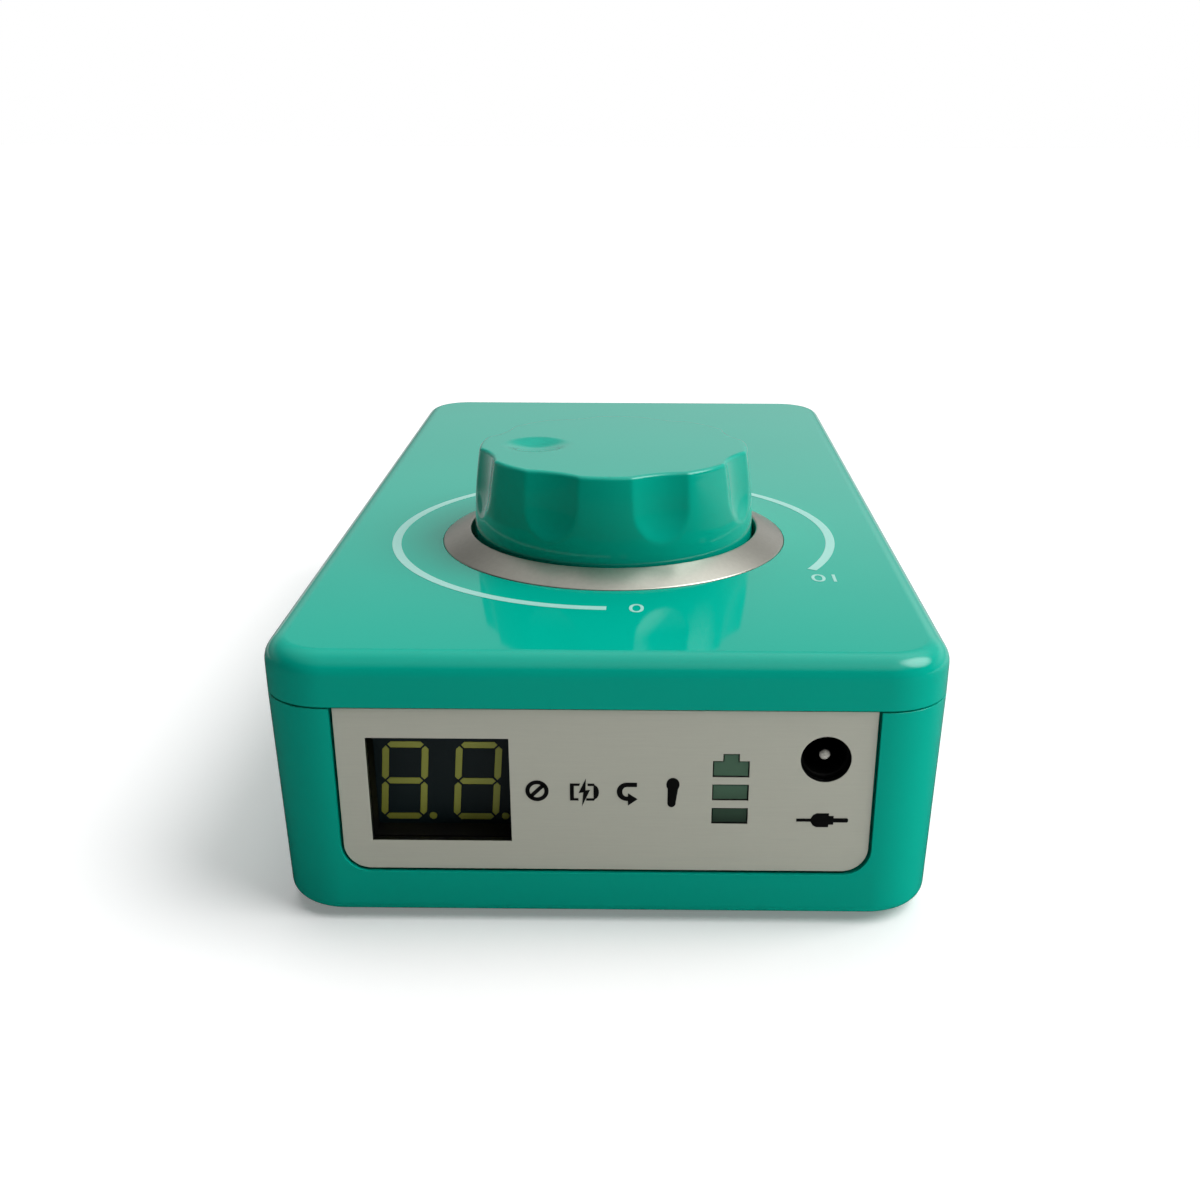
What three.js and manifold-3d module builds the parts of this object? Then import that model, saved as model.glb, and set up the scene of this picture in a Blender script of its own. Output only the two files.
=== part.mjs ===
// Control box of a portable rechargeable micromotor.
// A flat two-shell plastic case on rubber feet, with a speed knob in a metal ring on top, a front panel with
// display, battery gauge and motor socket, and the switches and sockets for pedal and charger at the rear.
// Millimetres. X runs across the box, Y from the front panel to the rear, Z up from the table.
import * as THREE from "three";
import { mergeVertices } from "three/addons/utils/BufferGeometryUtils.js";
import Module from "manifold-3d";

const wasm = await Module();
wasm.setup();

// Clearances that all pieces share
const fit = 0.3; // air between two pieces that seat on each other
const overrun = 1; // how far a cutting solid runs past what it cuts
const weld = 1e-5; // points closer than this are one

// Battery: two round lithium cells lying across the box, which set its width
const cellLength = 65;
const cellDiameter = 18.4;
const cellPitch = 18.9;
const cellEndRoom = 0.7;
const cellEdgeRound = 0.8;
const cellCapRadius = 3.6;
const cellCapGroove = 0.5;
const cellRowFromKnob = 21.3; // knob axis to the axis of the front cell
const stripThickness = 0.2;
const stripWidth = 8;
const cellFloorGap = 0.5;
const saddleThickness = 1.6;
const saddleRiseShare = 0.72; // height of a saddle as a share of the cell's radius
const saddlePlaceShares = [-0.32, 0, 0.32]; // places along the cell as shares of its length

// Case
const wall = 1.8;
const caseWidth = cellLength + 2 * (cellEndRoom + wall);
const caseDepth = 125;
const baseHeight = 23.5;
const coverHeight = 5.6;
const cornerRadius = 7;
const topRound = 2.4;
const bottomRound = 1.2;
const sideDraft = 0.5; // how far each side wall leans in at the underside
const tongueThickness = 0.8;
const tongueHeight = 1.2;

// Feet and case screws
const footDrop = 1; // height of the case above the table
const footRadius = 4;
const footSeatDepth = 0.9;
const footRound = 0.4;
const footInset = 11; // foot axis to the case's side
const footEndInset = 12.5; // foot axis to the case's front or rear
const screwInset = 5.5; // screw axis to the case's side
const screwEndInset = 6.3; // screw axis to the case's front or rear
const screwRadius = 1.25;
const screwHeadRadius = 2.3;
const screwHeadHeight = 1.8;
const screwSinkDepth = 3.2;
const screwSlotWidth = 0.7;
const screwSlotDepth = 0.9;
const bossRadius = 3.8;
const postRadius = 2.9;
const bossHeight = 13; // underside of the case to the top of a boss
const screwReach = 8; // how far a screw goes into its post

// Front panel
const panelWidth = 54.3;
const panelBottom = 5.25; // underside of the case to the panel's lower edge
const panelThickness = 0.8;
const panelRecess = 0.3;
const panelCornerRadius = 2.7;
const panelLedge = 1.2; // how far the panel laps over the opening behind it
const panelWallThickness = 2.8;

// Display: two figures behind a window, and the dark shroud behind the panel
const windowWidth = 14.4;
const windowHeight = 11.7;
const windowFromSide = 3.05; // panel's side to the window
const windowFromBottom = 3.3; // panel's lower edge to the window
const windowX = -panelWidth / 2 + windowFromSide + windowWidth / 2;
// Heights of the panel's parts are counted from the underside of the case
const windowZ = panelBottom + windowFromBottom + windowHeight / 2;
const displayDepth = 4.3; // front face of the case to the face of the display
const moduleWidth = 15;
const moduleHeight = 14;
const moduleThickness = 7.2;
const moduleDrop = 1; // middle of the module below the middle of the window
const moduleZ = windowZ - moduleDrop;
const figureHeight = 9.1;
const figureWidth = 5;
const figurePitch = 7.65;
const figureShift = 0.3; // the figures stand left of the middle and leave room for their points
const figureLean = 4.5; // degrees to the right
const segmentWidth = 0.8;
const segmentGap = 0.12;
const segmentDepth = 0.25;
const pointRadius = 0.4;
const pointOffset = 0.7;
const shroudLeftLap = 1;
const shroudRightLap = 1.05; // how far the shroud goes past the battery gauge
const shroudTopGap = 1.5;

// Motor socket
const motorJackFromSide = 4.95; // panel's side to the socket's axis
const motorJackRise = 3.8; // socket's axis above the middle of the window
const motorJackX = panelWidth / 2 - motorJackFromSide;
const motorJackZ = windowZ + motorJackRise;
const motorJackHole = 2.55;
const motorJackBore = 2.2;
const motorJackBody = 6.2;
const motorJackBoreDepth = 8.5;
const motorPinRadius = 0.62;
const motorPinSetback = 1.2;

// Battery gauge and signs on the panel
const gaugeFromJack = 9.5; // axis of the motor socket to the middle of the gauge
const gaugeX = motorJackX - gaugeFromJack;
const gaugeRiseShares = [0.235, 0.0085, -0.2222]; // above the window's middle, as shares of its height
const gaugePlaces = gaugeRiseShares.map((share) => windowZ + share * windowHeight);
const gaugeWidth = 3.7;
const gaugeHeight = 1.6;
const gaugeTabWidth = 1.65;
const gaugeTabHeight = 0.8;
const gaugeRecess = 0.3;
const gaugeFit = 0.1;
const signRise = 0.05; // middle of the signs above the middle of the window
const signZ = windowZ + signRise;
const signSpan = gaugeX - gaugeWidth / 2 - windowX - windowWidth / 2; // window to gauge
const signPlaceShares = [0.13625, 0.36983, 0.58394, 0.81022];
const signPlaces = signPlaceShares.map((share) => windowX + windowWidth / 2 + share * signSpan);
const signCellWidth = 3.2;
const signCellHeight = 3.6;
const signSkin = 0.3;
const ledWidth = 1.6;
const ledHeight = 0.8;
const ledThickness = 0.7;

// Boards
const boardThickness = 1.6;
const displayBoardWidth = 55;
const displayBoardBottom = 4.5;
const displayBoardTopGap = 2; // board's upper edge below the seam
const guideWall = 1.2;
const guideReach = 1.6;
const mainBoardWidth = 54;
const mainBoardFront = 15; // case front to the board's front edge
const mainBoardLength = 33;
const mainBoardZ = 7;
const powerBoardWidth = 50;
const powerBoardLength = 25;
const powerBoardZ = 6;
const standoffRadius = 2.2;
const standoffInset = 3;
const boardHoleRadius = 1.2;
const boardScrewHeadRadius = 2;
const boardScrewHeadHeight = 1.3;
const boardScrewRadius = 0.9;
const boardScrewLength = 4.5;

// Speed knob, its ring and the potentiometer
const knobFromFront = 41.2;
const ringRadius = 21.2;
const ringWidth = 3.5;
const ringGap = 0.6; // knob to the ring
const ringInner = ringRadius - ringWidth;
const knobRadius = ringInner - ringGap;
const knobTaper = 0.75; // how much smaller the knob's radius is at the top
const knobTopRadius = knobRadius - knobTaper;
const knobRise = 11.5; // top of the knob above the cover
const knobBulge = 0.35;
const knobRimRound = 0.45;
const knobSkirt = 2.6;
const knobCrown = 2.2;
const knobSink = 1.9; // how far the knob's skirt goes below the cover's face
const fluteCount = 8;
const fluteRadius = 11;
const fluteDepth = 0.88;
const fluteLength = 3.9; // from the knob's top to the start of the run-out
const fluteRunOut = 3.7;
const fluteOverrunShare = 1.25; // how far the cutting tool follows the run-out's curve past the knob's side
const fluteTurnDegrees = 20.5; // angle of the first flute from straight ahead
const dimpleWidth = 6.2;
const dimpleDepth = 0.8;
const dimpleRimGap = 3.85; // dimple to the knob's top edge
const dimpleFromAxis = knobTopRadius - dimpleRimGap - dimpleWidth / 2;
const dimpleAngleDegrees = 182; // the knob rests pointing left, about a third of the way up its scale
const hubRadius = 5;
const hubGap = 0.7;
const ringRise = 1.55;
const ringSeatDepth = 1;
const ringLip = 0.25;
const ringEdgeRound = 0.35;
const wellDepth = 2.5;
const wellFloor = 2;
const potRadius = 8.25;
const potHeight = 8;
const potBushRadius = 3.5;
const potBushRise = 3.6;
const potNutWidth = 10;
const potNutHeight = 2;
const potWasherRadius = 6;
const potWasherThickness = 0.5;
const potFloor = 2;
const potShaftRadius = 3;
const potFlatShare = 0.55; // distance of the shaft's flat from its axis as a share of its radius
const potPinWidth = 1.2;
const potPinLength = 4;
const potPinThickness = 0.5;
const potPinPitch = 5;
const potSpindleRadius = 6.6;
const potSpindleHeight = 1.2;

// Rear controls, in one shallow field of the rear wall
const rearFieldWidth = 50;
const rearFieldHeight = 14;
const rearFieldDepth = 2;
const rearFieldRound = 3;
const rearZ = 13.4;
const chargeJackX = -19.5;
const chargeJackCollar = 3.9;
const chargeJackBore = 3.2;
const chargeJackBody = 9;
const chargeJackLength = 12;
const chargeJackBoreDepth = 9.5;
const chargePinRadius = 1.05;
const pedalJackX = -9;
const pedalJackCollar = 3;
const pedalJackBore = 1.8;
const pedalJackBody = 6.5;
const pedalJackLength = 12;
const pedalJackBoreDepth = 11;
const collarProud = 0.4;
const buttonPlaces = [0.5, 8.7];
const buttonRadius = 2.9;
const buttonProud = 1.4;
const buttonTravel = 0.6;
const buttonFlange = 0.8;
const buttonStemRadius = 1.4;
const buttonStemLength = 1.8;
const buttonRound = 0.4;
const switchWidth = 6;
const switchDepth = 4.5;
const sliderX = 19;
const sliderTravel = 4;
const sliderWidth = 3;
const sliderHeight = 2.6;
const sliderProud = 1.6;
const sliderRootDepth = 2.2;
const sliderGrooveCount = 3;
const sliderGrooveDepth = 0.3;
const sliderGrooveShare = 0.4; // width of a groove as a share of the grooves' pitch
const slideBodyMargin = 1.4;
const slideBodyDepth = 4.6;

// Small parts on the boards
const driverChip = { width: 9, depth: 9, height: 1.6 };
const processorChip = { width: 7, depth: 7, height: 1.2 };
const chargerChip = { width: 5, depth: 4, height: 1.4 };
const coilRadius = 4;
const coilHeight = 4.5;
const coilWaistShare = 0.8;
const capacitorRadius = 3.2;
const capacitorHeight = 7;
const capacitorRimShare = 0.9; // drawn-in rim as a share of the can's radius
const capacitorRimHeight = 0.7;
const plugShell = { width: 9, depth: 5, height: 5 };
const padMargin = 6;

// Smoothness
const cornerSteps = 5;
const roundSteps = 3;
const largeSides = 60;
const middleSides = 24;
const smallSides = 12;
const profileSteps = 8;
const fluteSteps = 6;

// Planes that follow from the sizes above
const caseBottom = footDrop;
const seamZ = caseBottom + baseHeight;
const rimZ = seamZ + fit;
const coverTop = seamZ + coverHeight;
const front = -caseDepth / 2;
const rear = caseDepth / 2;
const floorZ = caseBottom + wall;
const ceilingZ = coverTop - wall;
const knobY = front + knobFromFront;
const ringSeat = coverTop - ringSeatDepth;
const wellZ = coverTop - wellDepth;
const knobTop = coverTop + knobRise;
const panelBack = front + panelRecess + panelThickness;
const shroudFront = panelBack + fit;
const displayFace = front + displayDepth;
const displayBoardY = displayFace + moduleThickness + fit;
const fieldFloorY = rear - rearFieldDepth;
const rearInnerY = fieldFloorY - wall;
const rearAxisZ = caseBottom + rearZ;
const mainBoardBottom = caseBottom + mainBoardZ;
const mainBoardTop = mainBoardBottom + boardThickness;
const powerBoardBottom = caseBottom + powerBoardZ;
const powerBoardTop = powerBoardBottom + boardThickness;
const powerBoardY = rearInnerY - fit - powerBoardLength / 2;
const mainBoardY = front + mainBoardFront + mainBoardLength / 2;
const cellRadius = cellDiameter / 2;
const cellAxisZ = floorZ + cellFloorGap + cellRadius;
const cellRows = [knobY + cellRowFromKnob, knobY + cellRowFromKnob + cellPitch];
const screwPlaces = [];
for (const side of [-1, 1]) {
  for (const end of [-1, 1]) {
    screwPlaces.push([side * (caseWidth / 2 - screwInset), end * (caseDepth / 2 - screwEndInset)]);
  }
}
const footPlaces = [];
for (const side of [-1, 1]) {
  for (const end of [-1, 1]) {
    footPlaces.push([side * (caseWidth / 2 - footInset), end * (caseDepth / 2 - footEndInset)]);
  }
}

// Finishes
const finishes = {
  teal: { color: 0x0aa893, roughness: 0.28, metalness: 0 },
  panel: { color: 0x9d9c90, roughness: 0.42, metalness: 0.6 },
  satin: { color: 0xb1aca4, roughness: 0.35, metalness: 1 },
  black: { color: 0x121314, roughness: 0.45, metalness: 0 },
  slate: { color: 0x17262b, roughness: 0.35, metalness: 0 },
  green: { color: 0x2f4a3f, roughness: 0.3, metalness: 0 },
  rubber: { color: 0x2a2c2d, roughness: 0.85, metalness: 0 },
  steel: { color: 0x9a9c9e, roughness: 0.35, metalness: 1 },
  nickel: { color: 0xc8c4b8, roughness: 0.3, metalness: 1 },
  brass: { color: 0xb99a5a, roughness: 0.35, metalness: 1 },
  board: { color: 0x1f5a3c, roughness: 0.5, metalness: 0 },
  cell: { color: 0x3f6fa8, roughness: 0.4, metalness: 0 },
  foam: { color: 0x3a3a3c, roughness: 0.95, metalness: 0 },
  lamp: { color: 0xe8e6d8, roughness: 0.4, metalness: 0 },
};

const box = new THREE.Group();

// Turns a closed geometry into a solid that can be joined and cut
function solid(geometry) {
  const bare = geometry.clone();
  bare.deleteAttribute("normal");
  bare.deleteAttribute("uv");
  const merged = mergeVertices(bare, weld);
  return new wasm.Manifold(
    new wasm.Mesh({
      numProp: 3,
      vertProperties: new Float32Array(merged.attributes.position.array),
      triVerts: new Uint32Array(merged.index.array),
    }),
  );
}

// Turns a solid back into a geometry for a mesh
function geometryOf(body) {
  const data = body.getMesh();
  const geometry = new THREE.BufferGeometry();
  geometry.setAttribute("position", new THREE.BufferAttribute(new Float32Array(data.vertProperties), 3));
  geometry.setIndex(new THREE.BufferAttribute(new Uint32Array(data.triVerts), 1));
  geometry.computeVertexNormals();
  return geometry;
}

function join(...bodies) {
  return bodies.reduce((whole, body) => whole.add(body));
}

function cut(body, ...tools) {
  return tools.reduce((whole, tool) => whole.subtract(tool), body);
}

// Adds a named piece to the box, at a place given by its own position
function piece(name, shape, finish, x = 0, y = 0, z = 0) {
  const geometry = shape.isBufferGeometry ? shape : geometryOf(shape);
  const mesh = new THREE.Mesh(geometry, new THREE.MeshStandardMaterial(finishes[finish]));
  mesh.name = name;
  mesh.position.set(x, y, z);
  box.add(mesh);
  return mesh;
}

// Block from its lowest to its highest corner
function block(x0, x1, y0, y1, z0, z1) {
  const geometry = new THREE.BoxGeometry(x1 - x0, y1 - y0, z1 - z0);
  geometry.translate((x0 + x1) / 2, (y0 + y1) / 2, (z0 + z1) / 2);
  return solid(geometry);
}

// Upright round bar between two heights
function bar(radius, z0, z1, x = 0, y = 0, sides = smallSides) {
  const geometry = new THREE.CylinderGeometry(radius, radius, z1 - z0, sides);
  geometry.rotateX(Math.PI / 2);
  geometry.translate(x, y, (z0 + z1) / 2);
  return solid(geometry);
}

// Round bar along Y between two depths
function barAlongY(radius, y0, y1, x, z, sides = smallSides) {
  const geometry = new THREE.CylinderGeometry(radius, radius, y1 - y0, sides);
  geometry.translate(x, (y0 + y1) / 2, z);
  return solid(geometry);
}

// Body of revolution about Z from a closed profile of radius and height pairs
function revolve(profile, sides = middleSides) {
  const points = profile.map(([radius, height]) => new THREE.Vector2(radius, height));
  if (profile[0][0] > 0) points.push(points[0].clone());
  const geometry = new THREE.LatheGeometry(points, sides);
  geometry.rotateX(Math.PI / 2);
  return solid(geometry);
}

// Outline drawn in X and Z, made into a plate between two depths in Y
function plateAlongY(shape, y0, y1) {
  const geometry = new THREE.ExtrudeGeometry(shape, {
    depth: y1 - y0,
    bevelEnabled: false,
    curveSegments: cornerSteps,
  });
  geometry.rotateX(Math.PI / 2);
  geometry.translate(0, y1, 0);
  return solid(geometry);
}

// Rounded rectangle as a shape, about a centre
function roundedShape(width, height, radius, x, z) {
  const shape = new THREE.Shape();
  const halfWidth = width / 2;
  const halfHeight = height / 2;
  shape.moveTo(x - halfWidth + radius, z - halfHeight);
  shape.absarc(x + halfWidth - radius, z - halfHeight + radius, radius, -Math.PI / 2, 0);
  shape.absarc(x + halfWidth - radius, z + halfHeight - radius, radius, 0, Math.PI / 2);
  shape.absarc(x - halfWidth + radius, z + halfHeight - radius, radius, Math.PI / 2, Math.PI);
  shape.absarc(x - halfWidth + radius, z - halfHeight + radius, radius, Math.PI, 1.5 * Math.PI);
  return shape;
}

// The case's plan outline at one height, set in from the full width and depth
function caseRing(z, insetX, insetY = insetX) {
  const points = [];
  const radius = Math.max(cornerRadius - Math.max(insetX, insetY), fit);
  const corners = [
    [1, -1],
    [1, 1],
    [-1, 1],
    [-1, -1],
  ];
  corners.forEach(([sideX, sideY], corner) => {
    for (let step = 0; step <= cornerSteps; step++) {
      const angle = ((corner - 1 + step / cornerSteps) * Math.PI) / 2;
      const x = sideX * (caseWidth / 2 - insetX - radius) + radius * Math.cos(angle);
      const y = sideY * (caseDepth / 2 - insetY - radius) + radius * Math.sin(angle);
      points.push(new THREE.Vector3(x, y, z));
    }
  });
  return points;
}

// Closed form through a stack of rings with equal numbers of points, lowest first
function loft(rings) {
  const count = rings[0].length;
  const vertices = rings.flat();
  const triangles = [];
  for (let level = 0; level + 1 < rings.length; level++) {
    for (let i = 0; i < count; i++) {
      const next = (i + 1) % count;
      const low = level * count;
      const high = low + count;
      triangles.push(low + i, low + next, high + next, low + i, high + next, high + i);
    }
  }
  const last = (rings.length - 1) * count;
  for (let i = 1; i + 1 < count; i++) {
    triangles.push(0, i + 1, i);
    triangles.push(last, last + i, last + i + 1);
  }
  const geometry = new THREE.BufferGeometry().setFromPoints(vertices);
  geometry.setIndex(triangles);
  return solid(geometry);
}

// Rings that round the upper edge of a case form
function roundedTopRings(top, radius, inset) {
  const rings = [];
  for (let step = 0; step <= roundSteps; step++) {
    const angle = ((step / roundSteps) * Math.PI) / 2;
    rings.push(caseRing(top - radius * (1 - Math.sin(angle)), inset + radius * (1 - Math.cos(angle))));
  }
  return rings;
}

// Upper shell, with the ring's seat, the knob's well and four screw posts
function topCover() {
  const outer = loft([caseRing(rimZ, 0), ...roundedTopRings(coverTop, topRound, 0)]);
  const inner = loft([caseRing(rimZ - overrun, wall), ...roundedTopRings(ceilingZ, topRound, wall)]);
  const skirt = wall - tongueThickness - fit;
  const rebate = loft([caseRing(rimZ - overrun, skirt), caseRing(seamZ + tongueHeight + fit, skirt)]);
  const well = bar(ringInner + wall, wellZ - wellFloor, coverTop - ringSeatDepth, 0, knobY, largeSides);
  let shell = join(cut(outer, inner, rebate), well);
  for (const [x, y] of screwPlaces) {
    shell = join(shell, bar(postRadius, caseBottom + bossHeight + fit, ceilingZ + wall / 2, x, y));
  }
  const pilotTop = caseBottom + bossHeight + fit + screwReach + fit;
  const pilots = screwPlaces.map(([x, y]) => bar(screwRadius + fit, caseBottom, pilotTop, x, y));
  return cut(
    shell,
    ...pilots,
    bar(ringRadius + fit, ringSeat, coverTop + overrun, 0, knobY, largeSides),
    bar(ringInner, wellZ, coverTop + overrun, 0, knobY, largeSides),
    bar(potBushRadius + fit, wellZ - wellFloor - overrun, coverTop, 0, knobY),
  );
}

// Outline of the front panel, square at the top and rounded below; grow widens it all round but at the top
function panelShape(grow, top) {
  const half = panelWidth / 2 + grow;
  const low = caseBottom + panelBottom - grow;
  const radius = Math.max(panelCornerRadius + grow, fit);
  const shape = new THREE.Shape();
  shape.moveTo(half, top);
  shape.lineTo(-half, top);
  shape.lineTo(-half, low + radius);
  shape.absarc(-half + radius, low + radius, radius, Math.PI, 1.5 * Math.PI);
  shape.absarc(half - radius, low + radius, radius, 1.5 * Math.PI, 2 * Math.PI);
  return shape;
}

// Ribs on the case floor that carry the two cells
function cellSaddles() {
  const rowFront = cellRows[0] - cellRadius - saddleThickness;
  const rowRear = cellRows[1] + cellRadius + saddleThickness;
  const top = cellAxisZ - cellRadius + cellRadius * saddleRiseShare;
  const half = saddleThickness / 2;
  let ribs = null;
  for (const share of saddlePlaceShares) {
    const x = share * cellLength;
    const rib = block(x - half, x + half, rowFront, rowRear, floorZ - wall / 2, top);
    ribs = ribs ? join(ribs, rib) : rib;
  }
  return cut(ribs, ...cellRows.map((y) => cellBar(cellRadius + fit, cellLength + 2 * fit, y)));
}

// Plain bar along X where a cell lies
function cellBar(radius, length, y) {
  const geometry = new THREE.CylinderGeometry(radius, radius, length, middleSides);
  geometry.rotateZ(Math.PI / 2);
  geometry.translate(0, y, cellAxisZ);
  return solid(geometry);
}

// Places of a board's four fixing holes
function boardCorners(width, length, y) {
  const places = [];
  for (const side of [-1, 1]) {
    for (const end of [-1, 1]) {
      places.push([side * (width / 2 - standoffInset), y + end * (length / 2 - standoffInset)]);
    }
  }
  return places;
}

// Lower shell: tray with tongue, bosses, saddles, standoffs, panel seat and the rear field
function bottomCase() {
  const outerRings = [];
  for (let step = 0; step <= roundSteps; step++) {
    const angle = ((step / roundSteps) * Math.PI) / 2;
    const inset = bottomRound * (1 - Math.sin(angle));
    outerRings.push(caseRing(caseBottom + bottomRound * (1 - Math.cos(angle)), inset + sideDraft, inset));
  }
  outerRings.push(caseRing(seamZ, 0));
  const cavity = loft([caseRing(floorZ, wall), caseRing(seamZ + overrun, wall)]);
  const tongueOuter = loft([
    caseRing(seamZ - wall, wall - tongueThickness),
    caseRing(seamZ + tongueHeight, wall - tongueThickness),
  ]);
  const tongue = cut(tongueOuter, loft([caseRing(floorZ, wall), caseRing(seamZ + 2 * tongueHeight, wall)]));
  const panelWall = block(
    -panelWidth / 2 - panelLedge,
    panelWidth / 2 + panelLedge,
    front + wall / 2,
    front + panelWallThickness,
    floorZ - wall / 2,
    seamZ,
  );
  const rearWall = plateAlongY(
    roundedShape(rearFieldWidth + wall, rearFieldHeight + 2 * wall, rearFieldRound, 0, rearAxisZ),
    rearInnerY,
    rear - wall / 2,
  );
  let shell = join(cut(loft(outerRings), cavity), tongue, panelWall, rearWall, cellSaddles());
  for (const [x, y] of screwPlaces) {
    shell = join(shell, bar(bossRadius, floorZ - wall / 2, caseBottom + bossHeight, x, y));
  }
  for (const [x, y] of boardCorners(mainBoardWidth, mainBoardLength, mainBoardY)) {
    shell = join(shell, bar(standoffRadius, floorZ - wall / 2, mainBoardBottom - fit, x, y));
  }
  for (const [x, y] of boardCorners(powerBoardWidth, powerBoardLength, powerBoardY)) {
    shell = join(shell, bar(standoffRadius, floorZ - wall / 2, powerBoardBottom - fit, x, y));
  }
  for (const side of [-1, 1]) {
    shell = join(shell, boardGuide(side));
  }
  return cut(shell, ...bottomCaseCuts());
}

// Slotted rib on a side wall that holds one end of the display board
function boardGuide(side) {
  const wallX = caseWidth / 2 - wall / 2;
  const edgeX = displayBoardWidth / 2 - guideReach;
  const rib = block(
    Math.min(side * edgeX, side * wallX),
    Math.max(side * edgeX, side * wallX),
    displayBoardY - fit - guideWall,
    displayBoardY + boardThickness + fit + guideWall,
    floorZ - wall / 2,
    caseBottom + bossHeight,
  );
  const endX = displayBoardWidth / 2 + fit;
  const slot = block(
    -endX,
    endX,
    displayBoardY - fit,
    displayBoardY + boardThickness + fit,
    caseBottom + displayBoardBottom - fit,
    seamZ,
  );
  return cut(rib, slot);
}

function bottomCaseCuts() {
  const tools = [];
  tools.push(plateAlongY(panelShape(fit, seamZ + 2 * tongueHeight), front - overrun, panelBack + fit));
  const opening = panelShape(-panelLedge, seamZ + 2 * tongueHeight);
  tools.push(plateAlongY(opening, front - overrun, front + panelWallThickness + overrun));
  for (const [x, y] of screwPlaces) {
    tools.push(bar(screwHeadRadius + fit, caseBottom - overrun, caseBottom + screwSinkDepth, x, y));
    tools.push(bar(screwRadius + fit, caseBottom, caseBottom + bossHeight + overrun, x, y));
  }
  for (const [x, y] of footPlaces) {
    tools.push(bar(footRadius + fit, caseBottom - overrun, caseBottom + footSeatDepth, x, y));
  }
  const standoffs = [
    ...boardCorners(mainBoardWidth, mainBoardLength, mainBoardY),
    ...boardCorners(powerBoardWidth, powerBoardLength, powerBoardY),
  ];
  for (const [x, y] of standoffs) {
    tools.push(bar(boardHoleRadius, floorZ, seamZ, x, y));
  }
  const field = roundedShape(rearFieldWidth, rearFieldHeight, rearFieldRound, 0, rearAxisZ);
  tools.push(plateAlongY(field, fieldFloorY, rear + overrun));
  const through = [rearInnerY - overrun, fieldFloorY + overrun];
  tools.push(barAlongY(chargeJackCollar + fit, ...through, chargeJackX, rearAxisZ));
  tools.push(barAlongY(pedalJackCollar + fit, ...through, pedalJackX, rearAxisZ));
  for (const x of buttonPlaces) {
    tools.push(barAlongY(buttonRadius + fit, ...through, x, rearAxisZ));
  }
  const slotHalf = (sliderWidth + sliderTravel) / 2 + fit;
  const slotRise = sliderHeight / 2 + fit;
  const slotAcross = [sliderX - slotHalf, sliderX + slotHalf];
  tools.push(block(...slotAcross, ...through, rearAxisZ - slotRise, rearAxisZ + slotRise));
  return tools;
}

// Self-tapping screw with a cross recess in its head, which faces down
function caseScrew() {
  const headTop = caseBottom + screwSinkDepth - fit;
  const headLow = headTop - screwHeadHeight;
  const tip = caseBottom + bossHeight + fit + screwReach;
  const profile = [
    [0, headLow],
    [screwHeadRadius - screwHeadHeight / 3, headLow],
    [screwHeadRadius, headLow + screwHeadHeight / 3],
    [screwHeadRadius, headTop],
    [screwRadius, headTop],
    [screwRadius, tip - screwRadius],
    [0, tip],
  ];
  const arm = screwHeadRadius / 2;
  const half = screwSlotWidth / 2;
  const slotTop = headLow + screwSlotDepth;
  return cut(
    revolve(profile, smallSides),
    block(-arm, arm, -half, half, headLow - overrun, slotTop),
    block(-half, half, -arm, arm, headLow - overrun, slotTop),
  );
}

function rubberFoot() {
  const top = caseBottom + footSeatDepth - fit;
  return revolve(
    [
      [0, 0],
      [footRadius - footRound, 0],
      [footRadius, footRound],
      [footRadius, top],
      [0, top],
    ],
    smallSides,
  );
}

// Metal-faced panel with the display window, gauge slots and socket hole, thinned behind the signs
function frontPanel() {
  const face = front + panelRecess;
  const plate = plateAlongY(panelShape(0, seamZ), face, panelBack);
  const through = [face - overrun, panelBack + overrun];
  const windowAcross = [windowX - windowWidth / 2, windowX + windowWidth / 2];
  const windowMid = caseBottom + windowZ;
  const windowUp = [windowMid - windowHeight / 2, windowMid + windowHeight / 2];
  const tools = [block(...windowAcross, ...through, ...windowUp)];
  for (const x of signPlaces) {
    const mid = caseBottom + signZ;
    const pocket = [x - signCellWidth / 2, x + signCellWidth / 2, face + signSkin, panelBack + overrun];
    tools.push(block(...pocket, mid - signCellHeight / 2, mid + signCellHeight / 2));
  }
  gaugePlaces.forEach((z, index) => tools.push(plateAlongY(gaugeShape(z, index === 0, 0), ...through)));
  tools.push(barAlongY(motorJackHole, ...through, motorJackX, caseBottom + motorJackZ, middleSides));
  return cut(plate, ...tools);
}

// Outline of one gauge window; the top one carries the battery's tab
function gaugeShape(z, hasTab, inset) {
  const half = gaugeWidth / 2 - inset;
  const low = caseBottom + z - gaugeHeight / 2 + inset;
  const high = caseBottom + z + gaugeHeight / 2 - inset;
  const shape = new THREE.Shape();
  shape.moveTo(gaugeX - half, low);
  shape.lineTo(gaugeX + half, low);
  shape.lineTo(gaugeX + half, high);
  if (hasTab) {
    const tabHalf = gaugeTabWidth / 2 - inset;
    shape.lineTo(gaugeX + tabHalf, high);
    shape.lineTo(gaugeX + tabHalf, high + gaugeTabHeight);
    shape.lineTo(gaugeX - tabHalf, high + gaugeTabHeight);
    shape.lineTo(gaugeX - tabHalf, high);
  }
  shape.lineTo(gaugeX - half, high);
  return shape;
}

// Centre of each figure of the display
function figureCentres() {
  return [-1, 1].map((side) => windowX - figureShift + (side * figurePitch) / 2);
}

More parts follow.
